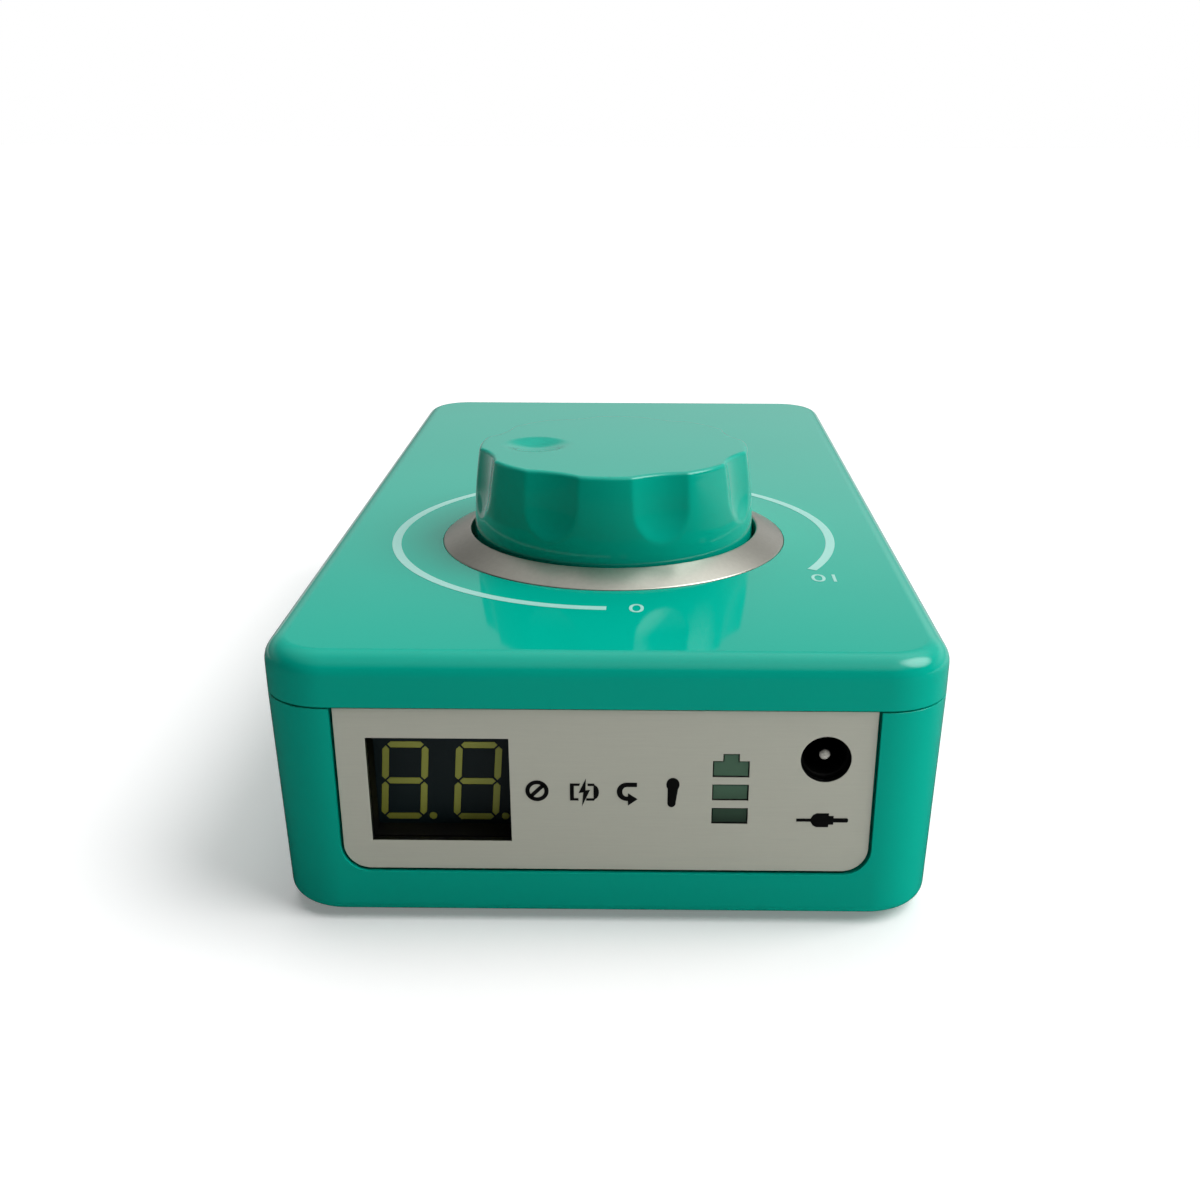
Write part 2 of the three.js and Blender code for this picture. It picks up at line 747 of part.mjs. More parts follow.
// Seven bar-shaped segments and the point of one figure, as cutting solids in the module's face
function figureCuts(centreX) {
  const cuts = [];
  const midZ = caseBottom + moduleZ;
  const slope = Math.tan(THREE.MathUtils.degToRad(figureLean));
  const leaning = (x, z) => new THREE.Vector2(x + (z - midZ) * slope, z);
  const halfWidth = (figureWidth - segmentWidth) / 2;
  const halfHeight = (figureHeight - segmentWidth) / 2;
  const bars = [
    [0, halfHeight, halfWidth, true],
    [0, 0, halfWidth, true],
    [0, -halfHeight, halfWidth, true],
    [-halfWidth, halfHeight / 2, halfHeight / 2, false],
    [halfWidth, halfHeight / 2, halfHeight / 2, false],
    [-halfWidth, -halfHeight / 2, halfHeight / 2, false],
    [halfWidth, -halfHeight / 2, halfHeight / 2, false],
  ];
  for (const [dx, dz, reach, level] of bars) {
    const half = segmentWidth / 2;
    const tip = reach - segmentGap;
    const outline = [
      [-tip, 0],
      [-tip + half, -half],
      [tip - half, -half],
      [tip, 0],
      [tip - half, half],
      [-tip + half, half],
    ];
    const shape = new THREE.Shape(
      outline.map(([along, across]) =>
        level
          ? leaning(centreX + dx + along, midZ + dz + across)
          : leaning(centreX + dx - across, midZ + dz + along),
      ),
    );
    cuts.push(plateAlongY(shape, displayFace - overrun, displayFace + segmentDepth));
  }
  const point = leaning(centreX + figureWidth / 2 + pointOffset, midZ - figureHeight / 2 + pointRadius);
  cuts.push(barAlongY(pointRadius, displayFace - overrun, displayFace + segmentDepth, point.x, point.y));
  return cuts;
}

function displayModule() {
  const midZ = caseBottom + moduleZ;
  const body = block(
    windowX - moduleWidth / 2,
    windowX + moduleWidth / 2,
    displayFace,
    displayFace + moduleThickness,
    midZ - moduleHeight / 2,
    midZ + moduleHeight / 2,
  );
  return cut(body, ...figureCentres().flatMap(figureCuts));
}

// Black frame between panel and display board: tunnel to the display and a light cell for each lamp
function lightShroud() {
  const left = windowX - windowWidth / 2 - shroudLeftLap;
  const low = caseBottom + panelBottom + panelLedge + 2 * fit;
  const right = gaugeX + gaugeWidth / 2 + shroudRightLap;
  const frame = block(left, right, shroudFront, displayBoardY - fit, low, seamZ - shroudTopGap);
  const back = displayBoardY;
  const windowMid = caseBottom + windowZ;
  const midZ = caseBottom + moduleZ;
  const tools = [
    block(
      windowX - windowWidth / 2,
      windowX + windowWidth / 2,
      shroudFront - overrun,
      back,
      windowMid - windowHeight / 2,
      windowMid + windowHeight / 2,
    ),
    block(
      windowX - moduleWidth / 2 - fit,
      windowX + moduleWidth / 2 + fit,
      displayFace - fit,
      back,
      midZ - moduleHeight / 2 - fit,
      midZ + moduleHeight / 2 + fit,
    ),
  ];
  for (const x of signPlaces) {
    const mid = caseBottom + signZ;
    const cell = [x - signCellWidth / 2, x + signCellWidth / 2, shroudFront - overrun, back];
    tools.push(block(...cell, mid - signCellHeight / 2, mid + signCellHeight / 2));
  }
  for (const z of gaugePlaces) {
    const mid = caseBottom + z;
    const cell = [gaugeX - gaugeWidth / 2, gaugeX + gaugeWidth / 2, shroudFront - overrun, back];
    tools.push(block(...cell, mid - gaugeHeight / 2, mid + gaugeHeight / 2));
  }
  return cut(frame, ...tools);
}

function displayBoard() {
  const half = displayBoardWidth / 2;
  const lowZ = caseBottom + displayBoardBottom;
  const highZ = seamZ - displayBoardTopGap;
  return block(-half, half, displayBoardY, displayBoardY + boardThickness, lowZ, highZ);
}

// Small lamp soldered to the front of the display board
function lamp() {
  return block(
    -ledWidth / 2,
    ledWidth / 2,
    displayBoardY - fit - ledThickness,
    displayBoardY - fit,
    -ledHeight / 2,
    ledHeight / 2,
  );
}

function gaugeWindow(z, hasTab) {
  const face = front + panelRecess + gaugeRecess;
  return plateAlongY(gaugeShape(z, hasTab, gaugeFit), face, panelBack);
}

function motorJack() {
  const half = motorJackBody / 2;
  const z = caseBottom + motorJackZ;
  const across = [motorJackX - half, motorJackX + half];
  const body = block(...across, shroudFront, displayBoardY - fit, z - half, z + half);
  const bore = [shroudFront - overrun, shroudFront + motorJackBoreDepth];
  return cut(body, barAlongY(motorJackBore, ...bore, motorJackX, z, middleSides));
}

// Round contact pin with a domed tip that points out of the socket
function contactPin(radius, length) {
  const profile = [
    [0, 0],
    [radius, 0],
    [radius, length - radius],
  ];
  for (let step = 1; step <= roundSteps; step++) {
    const angle = ((step / roundSteps) * Math.PI) / 2;
    const reach = step === roundSteps ? 0 : radius * Math.cos(angle);
    profile.push([reach, length - radius * (1 - Math.sin(angle))]);
  }
  return revolve(profile, smallSides);
}

// Ring with a conical face that rises towards the knob
function knobRing() {
  const low = ringSeat + fit;
  const lip = coverTop + ringLip;
  const crest = coverTop + ringRise;
  return revolve(
    [
      [ringInner, low],
      [ringRadius, low],
      [ringRadius, lip - ringEdgeRound],
      [ringRadius - ringEdgeRound, lip],
      [ringInner + ringEdgeRound, crest],
      [ringInner, crest - ringEdgeRound],
    ],
    largeSides,
  );
}

// Radius of the knob's barrel-shaped side at a height
function knobSideRadius(height) {
  const low = coverTop - knobSink;
  const share = (height - low) / (knobTop - knobRimRound - low);
  return knobRadius + (knobTopRadius - knobRadius) * share + knobBulge * 4 * share * (1 - share);
}

// Outline of the knob's side from the skirt up to its rounded rim
function knobProfile() {
  const low = coverTop - knobSink;
  const rise = knobTop - knobRimRound - low;
  const profile = [];
  for (let step = 0; step <= profileSteps; step++) {
    const height = low + (rise * step) / profileSteps;
    profile.push([knobSideRadius(height), height]);
  }
  for (let step = 1; step <= roundSteps; step++) {
    const angle = ((step / roundSteps) * Math.PI) / 2;
    const radius = knobTopRadius - knobRimRound * (1 - Math.cos(angle));
    profile.push([radius, knobTop - knobRimRound * (1 - Math.sin(angle))]);
  }
  return profile;
}

// Turned tool that cuts one flute: it follows the knob's side at an even depth and runs out in a curve
function fluteTool(index) {
  const axisDistance = knobTopRadius - fluteDepth + fluteRadius;
  const runOutTop = knobTop - fluteLength;
  const low = runOutTop - fluteRunOut * fluteOverrunShare;
  const rise = knobTop - knobRimRound - low;
  const profile = [[0, low]];
  for (let step = 0; step <= fluteSteps; step++) {
    const height = low + (rise * step) / fluteSteps;
    const drop = Math.max(0, runOutTop - height) / fluteRunOut;
    const floor = knobSideRadius(height) - fluteDepth * (1 - drop ** 2);
    profile.push([axisDistance - floor, height]);
  }
  profile.push([fluteRadius, knobTop + overrun], [0, knobTop + overrun]);
  const turn = -90 + fluteTurnDegrees + (360 * index) / fluteCount;
  return revolve(profile, largeSides).translate([axisDistance, 0, 0]).rotate([0, 0, turn]);
}

// Ball that cuts the shallow finger dimple in the knob's crown
function dimpleTool() {
  const radius = ((dimpleWidth / 2) ** 2 + dimpleDepth ** 2) / (2 * dimpleDepth);
  const geometry = new THREE.SphereGeometry(radius, middleSides, middleSides);
  const angle = THREE.MathUtils.degToRad(dimpleAngleDegrees);
  geometry.rotateX(Math.PI / 2);
  geometry.translate(
    dimpleFromAxis * Math.cos(angle),
    dimpleFromAxis * Math.sin(angle),
    knobTop + radius - dimpleDepth,
  );
  return solid(geometry);
}

// Hollow knob with a hub that grips the shaft's flat
function speedKnob() {
  const outline = knobProfile();
  const low = outline[0][1];
  const outer = revolve([[0, low], ...outline, [0, knobTop]], largeSides);
  const flutes = [];
  for (let index = 0; index < fluteCount; index++) {
    flutes.push(fluteTool(index));
  }
  const ceiling = knobTop - knobCrown;
  const hollow = bar(knobTopRadius - knobSkirt, low - overrun, ceiling, 0, 0, middleSides);
  const hubLow = wellZ + potBushRise + hubGap;
  const hub = bar(hubRadius, hubLow, ceiling + knobCrown / 2, 0, 0, smallSides);
  const shaftTop = ceiling - fit;
  const bore = cut(
    bar(potShaftRadius + fit, hubLow - overrun, shaftTop + fit),
    block(
      -potShaftRadius * 2,
      potShaftRadius * 2,
      potShaftRadius * potFlatShare + fit,
      potShaftRadius * 2,
      hubLow - 2 * overrun,
      knobTop,
    ),
  );
  return cut(join(cut(outer, ...flutes, hollow), hub), bore, dimpleTool());
}

function potTop() {
  return wellZ - wellFloor - fit;
}

// Potentiometer can with its threaded bush and three pins
function potBody() {
  const top = potTop();
  const bottom = top - potHeight;
  const can = bar(potRadius, bottom, top, 0, 0, middleSides);
  let pins = join(can, bar(potBushRadius, top - potFloor, wellZ + potBushRise));
  for (const place of [-1, 0, 1]) {
    const x = place * potPinPitch;
    pins = join(
      pins,
      block(
        x - potPinWidth / 2,
        x + potPinWidth / 2,
        -potRadius - potPinLength,
        0,
        bottom + potFloor,
        bottom + potFloor + potPinThickness,
      ),
    );
  }
  const spindleLow = bottom + potFloor + potPinThickness + fit;
  const spindleHigh = spindleLow + potSpindleHeight + 2 * fit;
  return cut(
    pins,
    bar(potShaftRadius + fit, spindleLow, coverTop + knobRise),
    bar(potSpindleRadius + fit, spindleLow, spindleHigh, 0, 0, middleSides),
  );
}

// Shaft with a flat on its upper end and the wiper disc inside the can
function potShaft() {
  const bottom = potTop() - potHeight;
  const low = bottom + potFloor + potPinThickness + 2 * fit;
  const top = knobTop - knobCrown - fit;
  const wiper = bar(potSpindleRadius, low, low + potSpindleHeight, 0, 0, middleSides);
  const shaft = join(bar(potShaftRadius, low, top), wiper);
  const flatLow = wellZ + potBushRise + hubGap / 2;
  const flat = potShaftRadius * potFlatShare;
  const reach = potShaftRadius * 2;
  return cut(shaft, block(-reach, reach, flat, reach, flatLow, top + overrun));
}

function potWasher() {
  const low = wellZ + fit / 2;
  return cut(
    bar(potWasherRadius, low, low + potWasherThickness),
    bar(potBushRadius + fit, low - overrun, low + potWasherThickness + overrun),
  );
}

function potNut() {
  const low = wellZ + fit + potWasherThickness;
  const across = potNutWidth / 2 / Math.cos(Math.PI / 6);
  return cut(
    bar(across, low, low + potNutHeight, 0, 0, 6),
    bar(potBushRadius + fit, low - overrun, low + potNutHeight + overrun),
  );
}

// Round cell lying along X, with the raised contact at one end
function batteryCell(y, contactSide) {
  const half = cellLength / 2;
  const profile = [
    [0, -half],
    [cellRadius - cellEdgeRound, -half],
    [cellRadius, -half + cellEdgeRound],
    [cellRadius, half - cellEdgeRound],
    [cellRadius - cellEdgeRound, half],
    [cellCapRadius + cellCapGroove, half],
    [cellCapRadius + cellCapGroove, half - cellCapGroove],
    [cellCapRadius, half - cellCapGroove],
    [cellCapRadius, half],
    [0, half],
  ];
  const points = profile.map(([radius, along]) => new THREE.Vector2(radius, along));
  const geometry = new THREE.LatheGeometry(points, middleSides);
  geometry.rotateZ((-contactSide * Math.PI) / 2);
  geometry.translate(0, y, cellAxisZ);
  return solid(geometry);
}

// Nickel strip across the ends of the cells, from one depth to another
function cellStrip(side, y0, y1) {
  const near = caseWidth / 2 - wall - (cellEndRoom + stripThickness) / 2;
  const x = [side * near, side * (near + stripThickness)].sort((a, b) => a - b);
  return block(...x, y0, y1, cellAxisZ - stripWidth / 2, cellAxisZ + stripWidth / 2);
}

function cellPad() {
  const top = ceilingZ - fit;
  const low = cellAxisZ + cellRadius + fit;
  const half = cellLength / 2 - padMargin;
  const nearWell = knobY + ringInner + wall + fit;
  return block(-half, half, nearWell, cellRows[1] + padMargin, low, top);
}

function board(width, length, y, bottom) {
  const plate = block(-width / 2, width / 2, y - length / 2, y + length / 2, bottom, bottom + boardThickness);
  const holes = boardCorners(width, length, y).map(([x, holeY]) =>
    bar(boardHoleRadius, bottom - overrun, bottom + boardThickness + overrun, x, holeY),
  );
  return cut(plate, ...holes);
}

// Screw that holds a board on its standoff
function boardScrew(boardTop) {
  const headLow = boardTop + fit / 2;
  return revolve(
    [
      [0, headLow - boardScrewLength],
      [boardScrewRadius, headLow - boardScrewLength],
      [boardScrewRadius, headLow],
      [boardScrewHeadRadius, headLow],
      [boardScrewHeadRadius, headLow + boardScrewHeadHeight / 2],
      [boardScrewHeadRadius / 2, headLow + boardScrewHeadHeight],
      [0, headLow + boardScrewHeadHeight],
    ],
    smallSides,
  );
}

function chip(size, x, y, boardTop) {
  const low = boardTop + fit;
  const halfWidth = size.width / 2;
  const halfDepth = size.depth / 2;
  return block(x - halfWidth, x + halfWidth, y - halfDepth, y + halfDepth, low, low + size.height);
}

// Upright capacitor with the drawn-in rim of its can
function capacitor(boardTop) {
  const low = boardTop + fit;
  const rim = capacitorRadius * capacitorRimShare;
  const step = capacitorRimHeight;
  return revolve(
    [
      [0, low],
      [capacitorRadius, low],
      [capacitorRadius, low + step],
      [rim, low + 1.5 * step],
      [capacitorRadius, low + 2 * step],
      [capacitorRadius, low + capacitorHeight - step / 2],
      [capacitorRadius - step / 2, low + capacitorHeight],
      [0, low + capacitorHeight],
    ],
    smallSides,
  );
}

// Power coil: drum core with a waist
function coil(boardTop) {
  const low = boardTop + fit;
  const flange = coilHeight / 4;
  return revolve(
    [
      [0, low],
      [coilRadius, low],
      [coilRadius, low + flange],
      [coilRadius * coilWaistShare, low + flange],
      [coilRadius * coilWaistShare, low + coilHeight - flange],
      [coilRadius, low + coilHeight - flange],
      [coilRadius, low + coilHeight],
      [0, low + coilHeight],
    ],
    smallSides,
  );
}

// Socket on the power board whose collar comes out through the rear wall
function rearJack(x, collar, bore, width, length, boreDepth) {
  const inner = rearInnerY - fit;
  const low = powerBoardTop + fit;
  const high = 2 * rearAxisZ - low;
  const face = fieldFloorY + collarProud;
  const body = block(x - width / 2, x + width / 2, inner - length, inner, low, high);
  const collarBar = barAlongY(collar, inner - overrun, face, x, rearAxisZ, middleSides);
  const hole = barAlongY(bore, face - boreDepth, face + overrun, x, rearAxisZ, middleSides);
  return cut(join(body, collarBar), hole);
}

// Push button with a domed edge outside, a flange inside the wall and a stem towards its switch
function pushButton() {
  const face = fieldFloorY + buttonProud;
  const flangeY = rearInnerY - fit;
  const flangeFoot = flangeY - buttonFlange;
  return revolve(
    [
      [0, flangeFoot - buttonStemLength],
      [buttonStemRadius, flangeFoot - buttonStemLength],
      [buttonStemRadius, flangeFoot],
      [buttonRadius + buttonFlange, flangeFoot],
      [buttonRadius + buttonFlange, flangeY],
      [buttonRadius, flangeY],
      [buttonRadius, face - buttonRound],
      [buttonRadius - buttonRound, face],
      [0, face],
    ],
    middleSides,
  );
}

// Switch on the power board, with a bore that takes the button's stem
function pushSwitch(x) {
  const stemEnd = rearInnerY - fit - buttonFlange - buttonStemLength;
  const face = stemEnd + 2 * fit;
  const low = powerBoardTop + fit;
  const high = 2 * rearAxisZ - low;
  const body = block(x - switchWidth / 2, x + switchWidth / 2, face - switchDepth, face, low, high);
  return cut(
    body,
    barAlongY(buttonStemRadius + fit, stemEnd - buttonTravel - fit, face + overrun, x, rearAxisZ),
  );
}

// Body of the slide switch behind its slot
function slideSwitch() {
  const half = (sliderWidth + sliderTravel) / 2 + fit;
  const rise = sliderHeight / 2 + fit;
  const face = rearInnerY - fit;
  const low = powerBoardTop + fit;
  const high = 2 * rearAxisZ - low;
  const across = half + slideBodyMargin;
  const body = block(sliderX - across, sliderX + across, face - slideBodyDepth, face, low, high);
  const rootY = face - sliderRootDepth - fit;
  return cut(
    body,
    block(sliderX - half, sliderX + half, rootY, face + overrun, rearAxisZ - rise, rearAxisZ + rise),
  );
}

// Sliding tab with grip grooves, resting at the off end of its slot
function slideTab() {
  const low = rearInnerY - fit - sliderRootDepth;
  const face = fieldFloorY + sliderProud;
  const off = sliderX - sliderTravel / 2;
  const half = sliderWidth / 2;
  const rise = sliderHeight / 2;
  const tab = block(off - half, off + half, low, face, rearAxisZ - rise, rearAxisZ + rise);
  const grooves = [];
  const pitch = sliderWidth / (sliderGrooveCount + 1);
  const halfGroove = (pitch * sliderGrooveShare) / 2;
  for (let index = 0; index < sliderGrooveCount; index++) {
    const x = off - half + pitch * (index + 1);
    const groove = [x - halfGroove, x + halfGroove, face - sliderGrooveDepth, face + overrun];
    grooves.push(block(...groove, rearAxisZ - rise - overrun, rearAxisZ + rise + overrun));
  }
  return cut(tab, ...grooves);
}

// Case
piece("top_cover", topCover(), "teal");
piece("bottom_case", bottomCase(), "teal");
screwPlaces.forEach(([x, y], index) => piece(`case_screw_${index + 1}`, caseScrew(), "steel", x, y));
footPlaces.forEach(([x, y], index) => piece(`rubber_foot_${index + 1}`, rubberFoot(), "rubber", x, y));

// Front panel and what stands behind it
piece("front_panel", frontPanel(), "panel");
piece("display_module", displayModule(), "slate");
piece("light_shroud", lightShroud(), "black");
piece("display_board", displayBoard(), "board");
signPlaces.forEach((x, index) => piece(`sign_lamp_${index + 1}`, lamp(), "lamp", x, 0, caseBottom + signZ));
gaugePlaces.forEach((z, index) => {
  piece(`gauge_window_${index + 1}`, gaugeWindow(z, index === 0), "green");
  piece(`gauge_lamp_${index + 1}`, lamp(), "lamp", gaugeX, 0, caseBottom + z);
});
piece("motor_jack", motorJack(), "black");
const motorPinLength = motorJackBoreDepth - fit + (shroudFront - front) - motorPinSetback;
const motorPin = piece("motor_jack_pin", contactPin(motorPinRadius, motorPinLength), "nickel");
motorPin.rotation.x = Math.PI / 2;
motorPin.position.set(motorJackX, shroudFront + motorJackBoreDepth - fit, caseBottom + motorJackZ);

// Knob, ring and potentiometer
piece("knob_ring", knobRing(), "satin", 0, knobY);
piece("speed_knob", speedKnob(), "teal", 0, knobY);
piece("pot_shaft", potShaft(), "steel", 0, knobY);
piece("pot_body", potBody(), "steel", 0, knobY);
piece("pot_washer", potWasher(), "steel", 0, knobY);
piece("pot_nut", potNut(), "brass", 0, knobY);

// Battery
cellRows.forEach((y, index) => {
  const contactSide = index === 0 ? 1 : -1;
  piece(`battery_cell_${index + 1}`, batteryCell(y, contactSide), "cell");
});
const stripHalf = stripWidth / 2;
piece("link_strip", cellStrip(-1, cellRows[0] - stripHalf, cellRows[1] + stripHalf), "nickel");
cellRows.forEach((y, index) =>
  piece(`lead_strip_${index + 1}`, cellStrip(1, y - stripHalf, y + stripHalf), "nickel"),
);
piece("cell_pad", cellPad(), "foam");

// Main board with its parts
piece("main_board", board(mainBoardWidth, mainBoardLength, mainBoardY, mainBoardBottom), "board");
const mainScrewPlaces = boardCorners(mainBoardWidth, mainBoardLength, mainBoardY)
  .filter(([x, y]) => x * (y - mainBoardY) > 0);
mainScrewPlaces.forEach(([x, y], index) => {
  piece(`main_board_screw_${index + 1}`, boardScrew(mainBoardTop), "steel", x, y);
});
piece("driver_chip", chip(driverChip, 0, mainBoardY, mainBoardTop), "black");
piece("processor_chip", chip(processorChip, -mainBoardWidth / 4, mainBoardY, mainBoardTop), "black");
piece("capacitor", capacitor(mainBoardTop), "satin", mainBoardWidth / 4, mainBoardY);
const plugY = mainBoardY + mainBoardLength / 3;
piece("board_plug", chip(plugShell, -mainBoardWidth / 4, plugY, mainBoardTop), "lamp");

// Power board with its parts
piece("power_board", board(powerBoardWidth, powerBoardLength, powerBoardY, powerBoardBottom), "board");
boardCorners(powerBoardWidth, powerBoardLength, powerBoardY)
  .filter(([, y]) => y < powerBoardY)
  .forEach(([x, y], index) => {
    piece(`power_board_screw_${index + 1}`, boardScrew(powerBoardTop), "steel", x, y);
  });
const partsY = powerBoardY - powerBoardLength / 4;
piece("charger_chip", chip(chargerChip, chargeJackX / 2, partsY, powerBoardTop), "black");
piece("power_coil", coil(powerBoardTop), "black", sliderX / 2, partsY);

// Rear sockets, buttons and power switch
const chargeShape = [chargeJackCollar, chargeJackBore, chargeJackBody, chargeJackLength, chargeJackBoreDepth];
piece("charge_jack", rearJack(chargeJackX, ...chargeShape), "black");
const chargePinLength = chargeJackBoreDepth - fit - collarProud;
const chargePin = piece("charge_jack_pin", contactPin(chargePinRadius, chargePinLength), "nickel");
chargePin.rotation.x = -Math.PI / 2;
chargePin.position.set(chargeJackX, fieldFloorY + collarProud - chargeJackBoreDepth + fit, rearAxisZ);
const pedalShape = [pedalJackCollar, pedalJackBore, pedalJackBody, pedalJackLength, pedalJackBoreDepth];
piece("pedal_jack", rearJack(pedalJackX, ...pedalShape), "black");
["direction", "pedal_mode"].forEach((name, index) => {
  const button = piece(`${name}_button`, pushButton(), "black");
  button.rotation.x = -Math.PI / 2;
  button.position.set(buttonPlaces[index], 0, rearAxisZ);
  piece(`${name}_switch`, pushSwitch(buttonPlaces[index]), "black");
});
piece("power_switch", slideSwitch(), "black");
piece("power_tab", slideTab(), "black");

export default box;
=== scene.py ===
"""Looks of a portable micromotor's control box: glossy shells, a fluted speed knob in a metal ring, a satin
panel with display, signs, battery gauge and motor socket, and the controls in the rear wall."""
import math
import bmesh
import bpy
from mathutils import Matrix, Vector


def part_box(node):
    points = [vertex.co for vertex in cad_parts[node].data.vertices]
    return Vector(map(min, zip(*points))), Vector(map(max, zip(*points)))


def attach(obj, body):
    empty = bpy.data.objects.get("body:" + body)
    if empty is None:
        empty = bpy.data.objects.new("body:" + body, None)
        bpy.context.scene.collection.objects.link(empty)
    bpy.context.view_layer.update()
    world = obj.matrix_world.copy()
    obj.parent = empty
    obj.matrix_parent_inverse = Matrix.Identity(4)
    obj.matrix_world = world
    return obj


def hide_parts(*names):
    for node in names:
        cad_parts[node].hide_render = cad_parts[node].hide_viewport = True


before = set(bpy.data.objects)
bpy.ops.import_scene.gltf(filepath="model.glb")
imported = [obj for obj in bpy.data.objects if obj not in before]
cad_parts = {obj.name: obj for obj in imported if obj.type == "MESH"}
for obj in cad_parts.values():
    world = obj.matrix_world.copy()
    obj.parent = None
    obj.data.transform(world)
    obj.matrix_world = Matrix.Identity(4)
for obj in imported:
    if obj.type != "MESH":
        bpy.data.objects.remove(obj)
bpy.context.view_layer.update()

MM = 0.001
HAIR = 0.01 * MM  # how near counts as touching a plane
GAP = 0.3 * MM  # clearance between neighbouring parts
OVER = 1 * MM  # how far a cutting tool passes the part


def middle_of(node):
    """Middle of a carried-over node's box."""
    low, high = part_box(node)
    return [(low[axis] + high[axis]) / 2 for axis in range(3)]


# Shells
CASE_LOW, CASE_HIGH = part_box("bottom_case")
COVER_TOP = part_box("top_cover")[1].z
TONGUE_RISE = 1.2 * MM
TONGUE = 0.8 * MM
WALL = 1.8 * MM
SEAM = CASE_HIGH.z - TONGUE_RISE
SEAM_GAP = 0.18 * MM  # between the shells, drawn narrower than the solids' clearance
CORNER_RADIUS = 7 * MM
CORNER_STEPS = 20
TOP_ROUND = 2.4 * MM
BOTTOM_ROUND = 1.2 * MM
ROUND_STEPS = 10
RIM_ROUND = 0.06 * MM
SEAT_ROUND = 0.08 * MM  # at the ring's seat and on the gauge windows
CUT_ROUND = 0.04 * MM  # at the edges cut into the front
COLLAR_ROUND = 0.15 * MM  # at the openings and sockets in the rear
SIDE_DRAFT = 0.5 * MM
FLOOR = CASE_LOW.z + WALL
CEILING = COVER_TOP - WALL
FRONT = CASE_LOW.y
REAR = CASE_HIGH.y
BOSS_RADIUS = 3.8 * MM
BOSS_RISE = 13 * MM
POST_RADIUS = 2.9 * MM
PILOT_RADIUS = 1.55 * MM
HEAD_HOLE_RADIUS = 2.6 * MM
HEAD_HOLE_DEPTH = 3.2 * MM
FOOT_SEAT_RADIUS = 4.3 * MM
FOOT_SEAT_DEPTH = 0.9 * MM

# Knob and ring
RING_LOW, RING_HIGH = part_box("knob_ring")
KNOB_X, KNOB_Y, _ = middle_of("knob_ring")
RING_RADIUS = (RING_HIGH.x - RING_LOW.x) / 2
RING_WIDTH = 3.5 * MM
RING_SEAT = RING_LOW.z - GAP
SEAT_GAP = 0.04 * MM  # ring to the cover, drawn narrower than the solids' clearance
WELL_RADIUS = RING_RADIUS - RING_WIDTH
WELL_DEPTH = 2.5 * MM
WELL_FLOOR = COVER_TOP - WELL_DEPTH
WELL_THICK = 2 * MM
KNOB_LOW, KNOB_TOP = [corner.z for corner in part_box("speed_knob")]
KNOB_CLEARANCE = 0.6 * MM
KNOB_TAPER = 0.75 * MM
KNOB_RADIUS = WELL_RADIUS - KNOB_CLEARANCE
KNOB_TOP_RADIUS = KNOB_RADIUS - KNOB_TAPER
KNOB_BULGE = 0.35 * MM
KNOB_RIM = 0.45 * MM

# Front panel
PANEL_LOW, PANEL_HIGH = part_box("front_panel")
PANEL_CORNER = 2.7 * MM
PANEL_LEDGE = 1.2 * MM
PANEL_WALL = 2.8 * MM
WINDOW_LOW = Vector((-24.1, 0, 9.55)) * MM
WINDOW_HIGH = Vector((-9.7, 0, 21.25)) * MM
JACK_LOW, JACK_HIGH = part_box("motor_jack")
JACK_X, _, JACK_Z = middle_of("motor_jack")
JACK_HOLE = 2.55 * MM
MOTOR_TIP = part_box("motor_jack_pin")[0].y
LENS_SLACK = 0.1 * MM
SLIT_DROP = 0.22 * MM  # how far the gauge's slits reach below the solids' ones
LENS_RISE = 0.18 * MM  # how far their windows stand forward of the solids' ones
INK = 0.03 * MM  # thickness of a screen print

# Rear wall
FIELD_WIDTH = 50 * MM
FIELD_HEIGHT = 14 * MM
FIELD_DEPTH = 2 * MM
FIELD_ROUND = 3 * MM
FIELD_INSIDE = REAR - FIELD_DEPTH - WALL
FIELD_Z = middle_of("direction_button")[2]
TAB_TRAVEL = 4 * MM
REAR_HOLES = {"charge_jack": 4.2 * MM, "pedal_jack": 3.3 * MM, "direction_button": 3.2 * MM,
              "pedal_mode_button": 3.2 * MM}


# Modelling steps

def deselect():
    bpy.ops.object.select_all(action="DESELECT")


def choose(*pieces):
    """Selects these pieces alone, the first of them active."""
    deselect()
    for piece in pieces:
        piece.select_set(True)
    bpy.context.view_layer.objects.active = pieces[0]


def named(name):
    """Names the shape just added and fixes its place in its mesh."""
    piece = bpy.context.object
    piece.name = piece.data.name = name
    bpy.ops.object.transform_apply(location=True, rotation=True, scale=True)
    return piece


def block(name, low, high):
    """Adds a cube that fills the box between two corners."""
    low = Vector(low)
    high = Vector(high)
    deselect()
    bpy.ops.mesh.primitive_cube_add(size=1, location=(low + high) / 2, scale=high - low)
    return named(name)


def rod(name, radius, start, end, sides=64):
    """Adds a cylinder from one point to another, upright or along the depth of the box."""
    start = Vector(start)
    end = Vector(end)
    turn = (end - start).to_track_quat("Z", "Y").to_euler()
    deselect()
    bpy.ops.mesh.primitive_cylinder_add(vertices=sides, radius=radius, depth=(end - start).length,
                                        location=(start + end) / 2, rotation=turn)
    return named(name)


def level_rod(radius, x, z, near, far, sides=96):
    """Rod along the depth of the box, for bores, collars and points."""
    return rod("level_rod", radius, (x, near, z), (x, far, z), sides)


def open_piece(piece):
    choose(piece)
    bpy.ops.object.mode_set(mode="EDIT")
    bpy.ops.mesh.select_all(action="DESELECT")


def close_piece():
    bpy.ops.object.mode_set(mode="OBJECT")


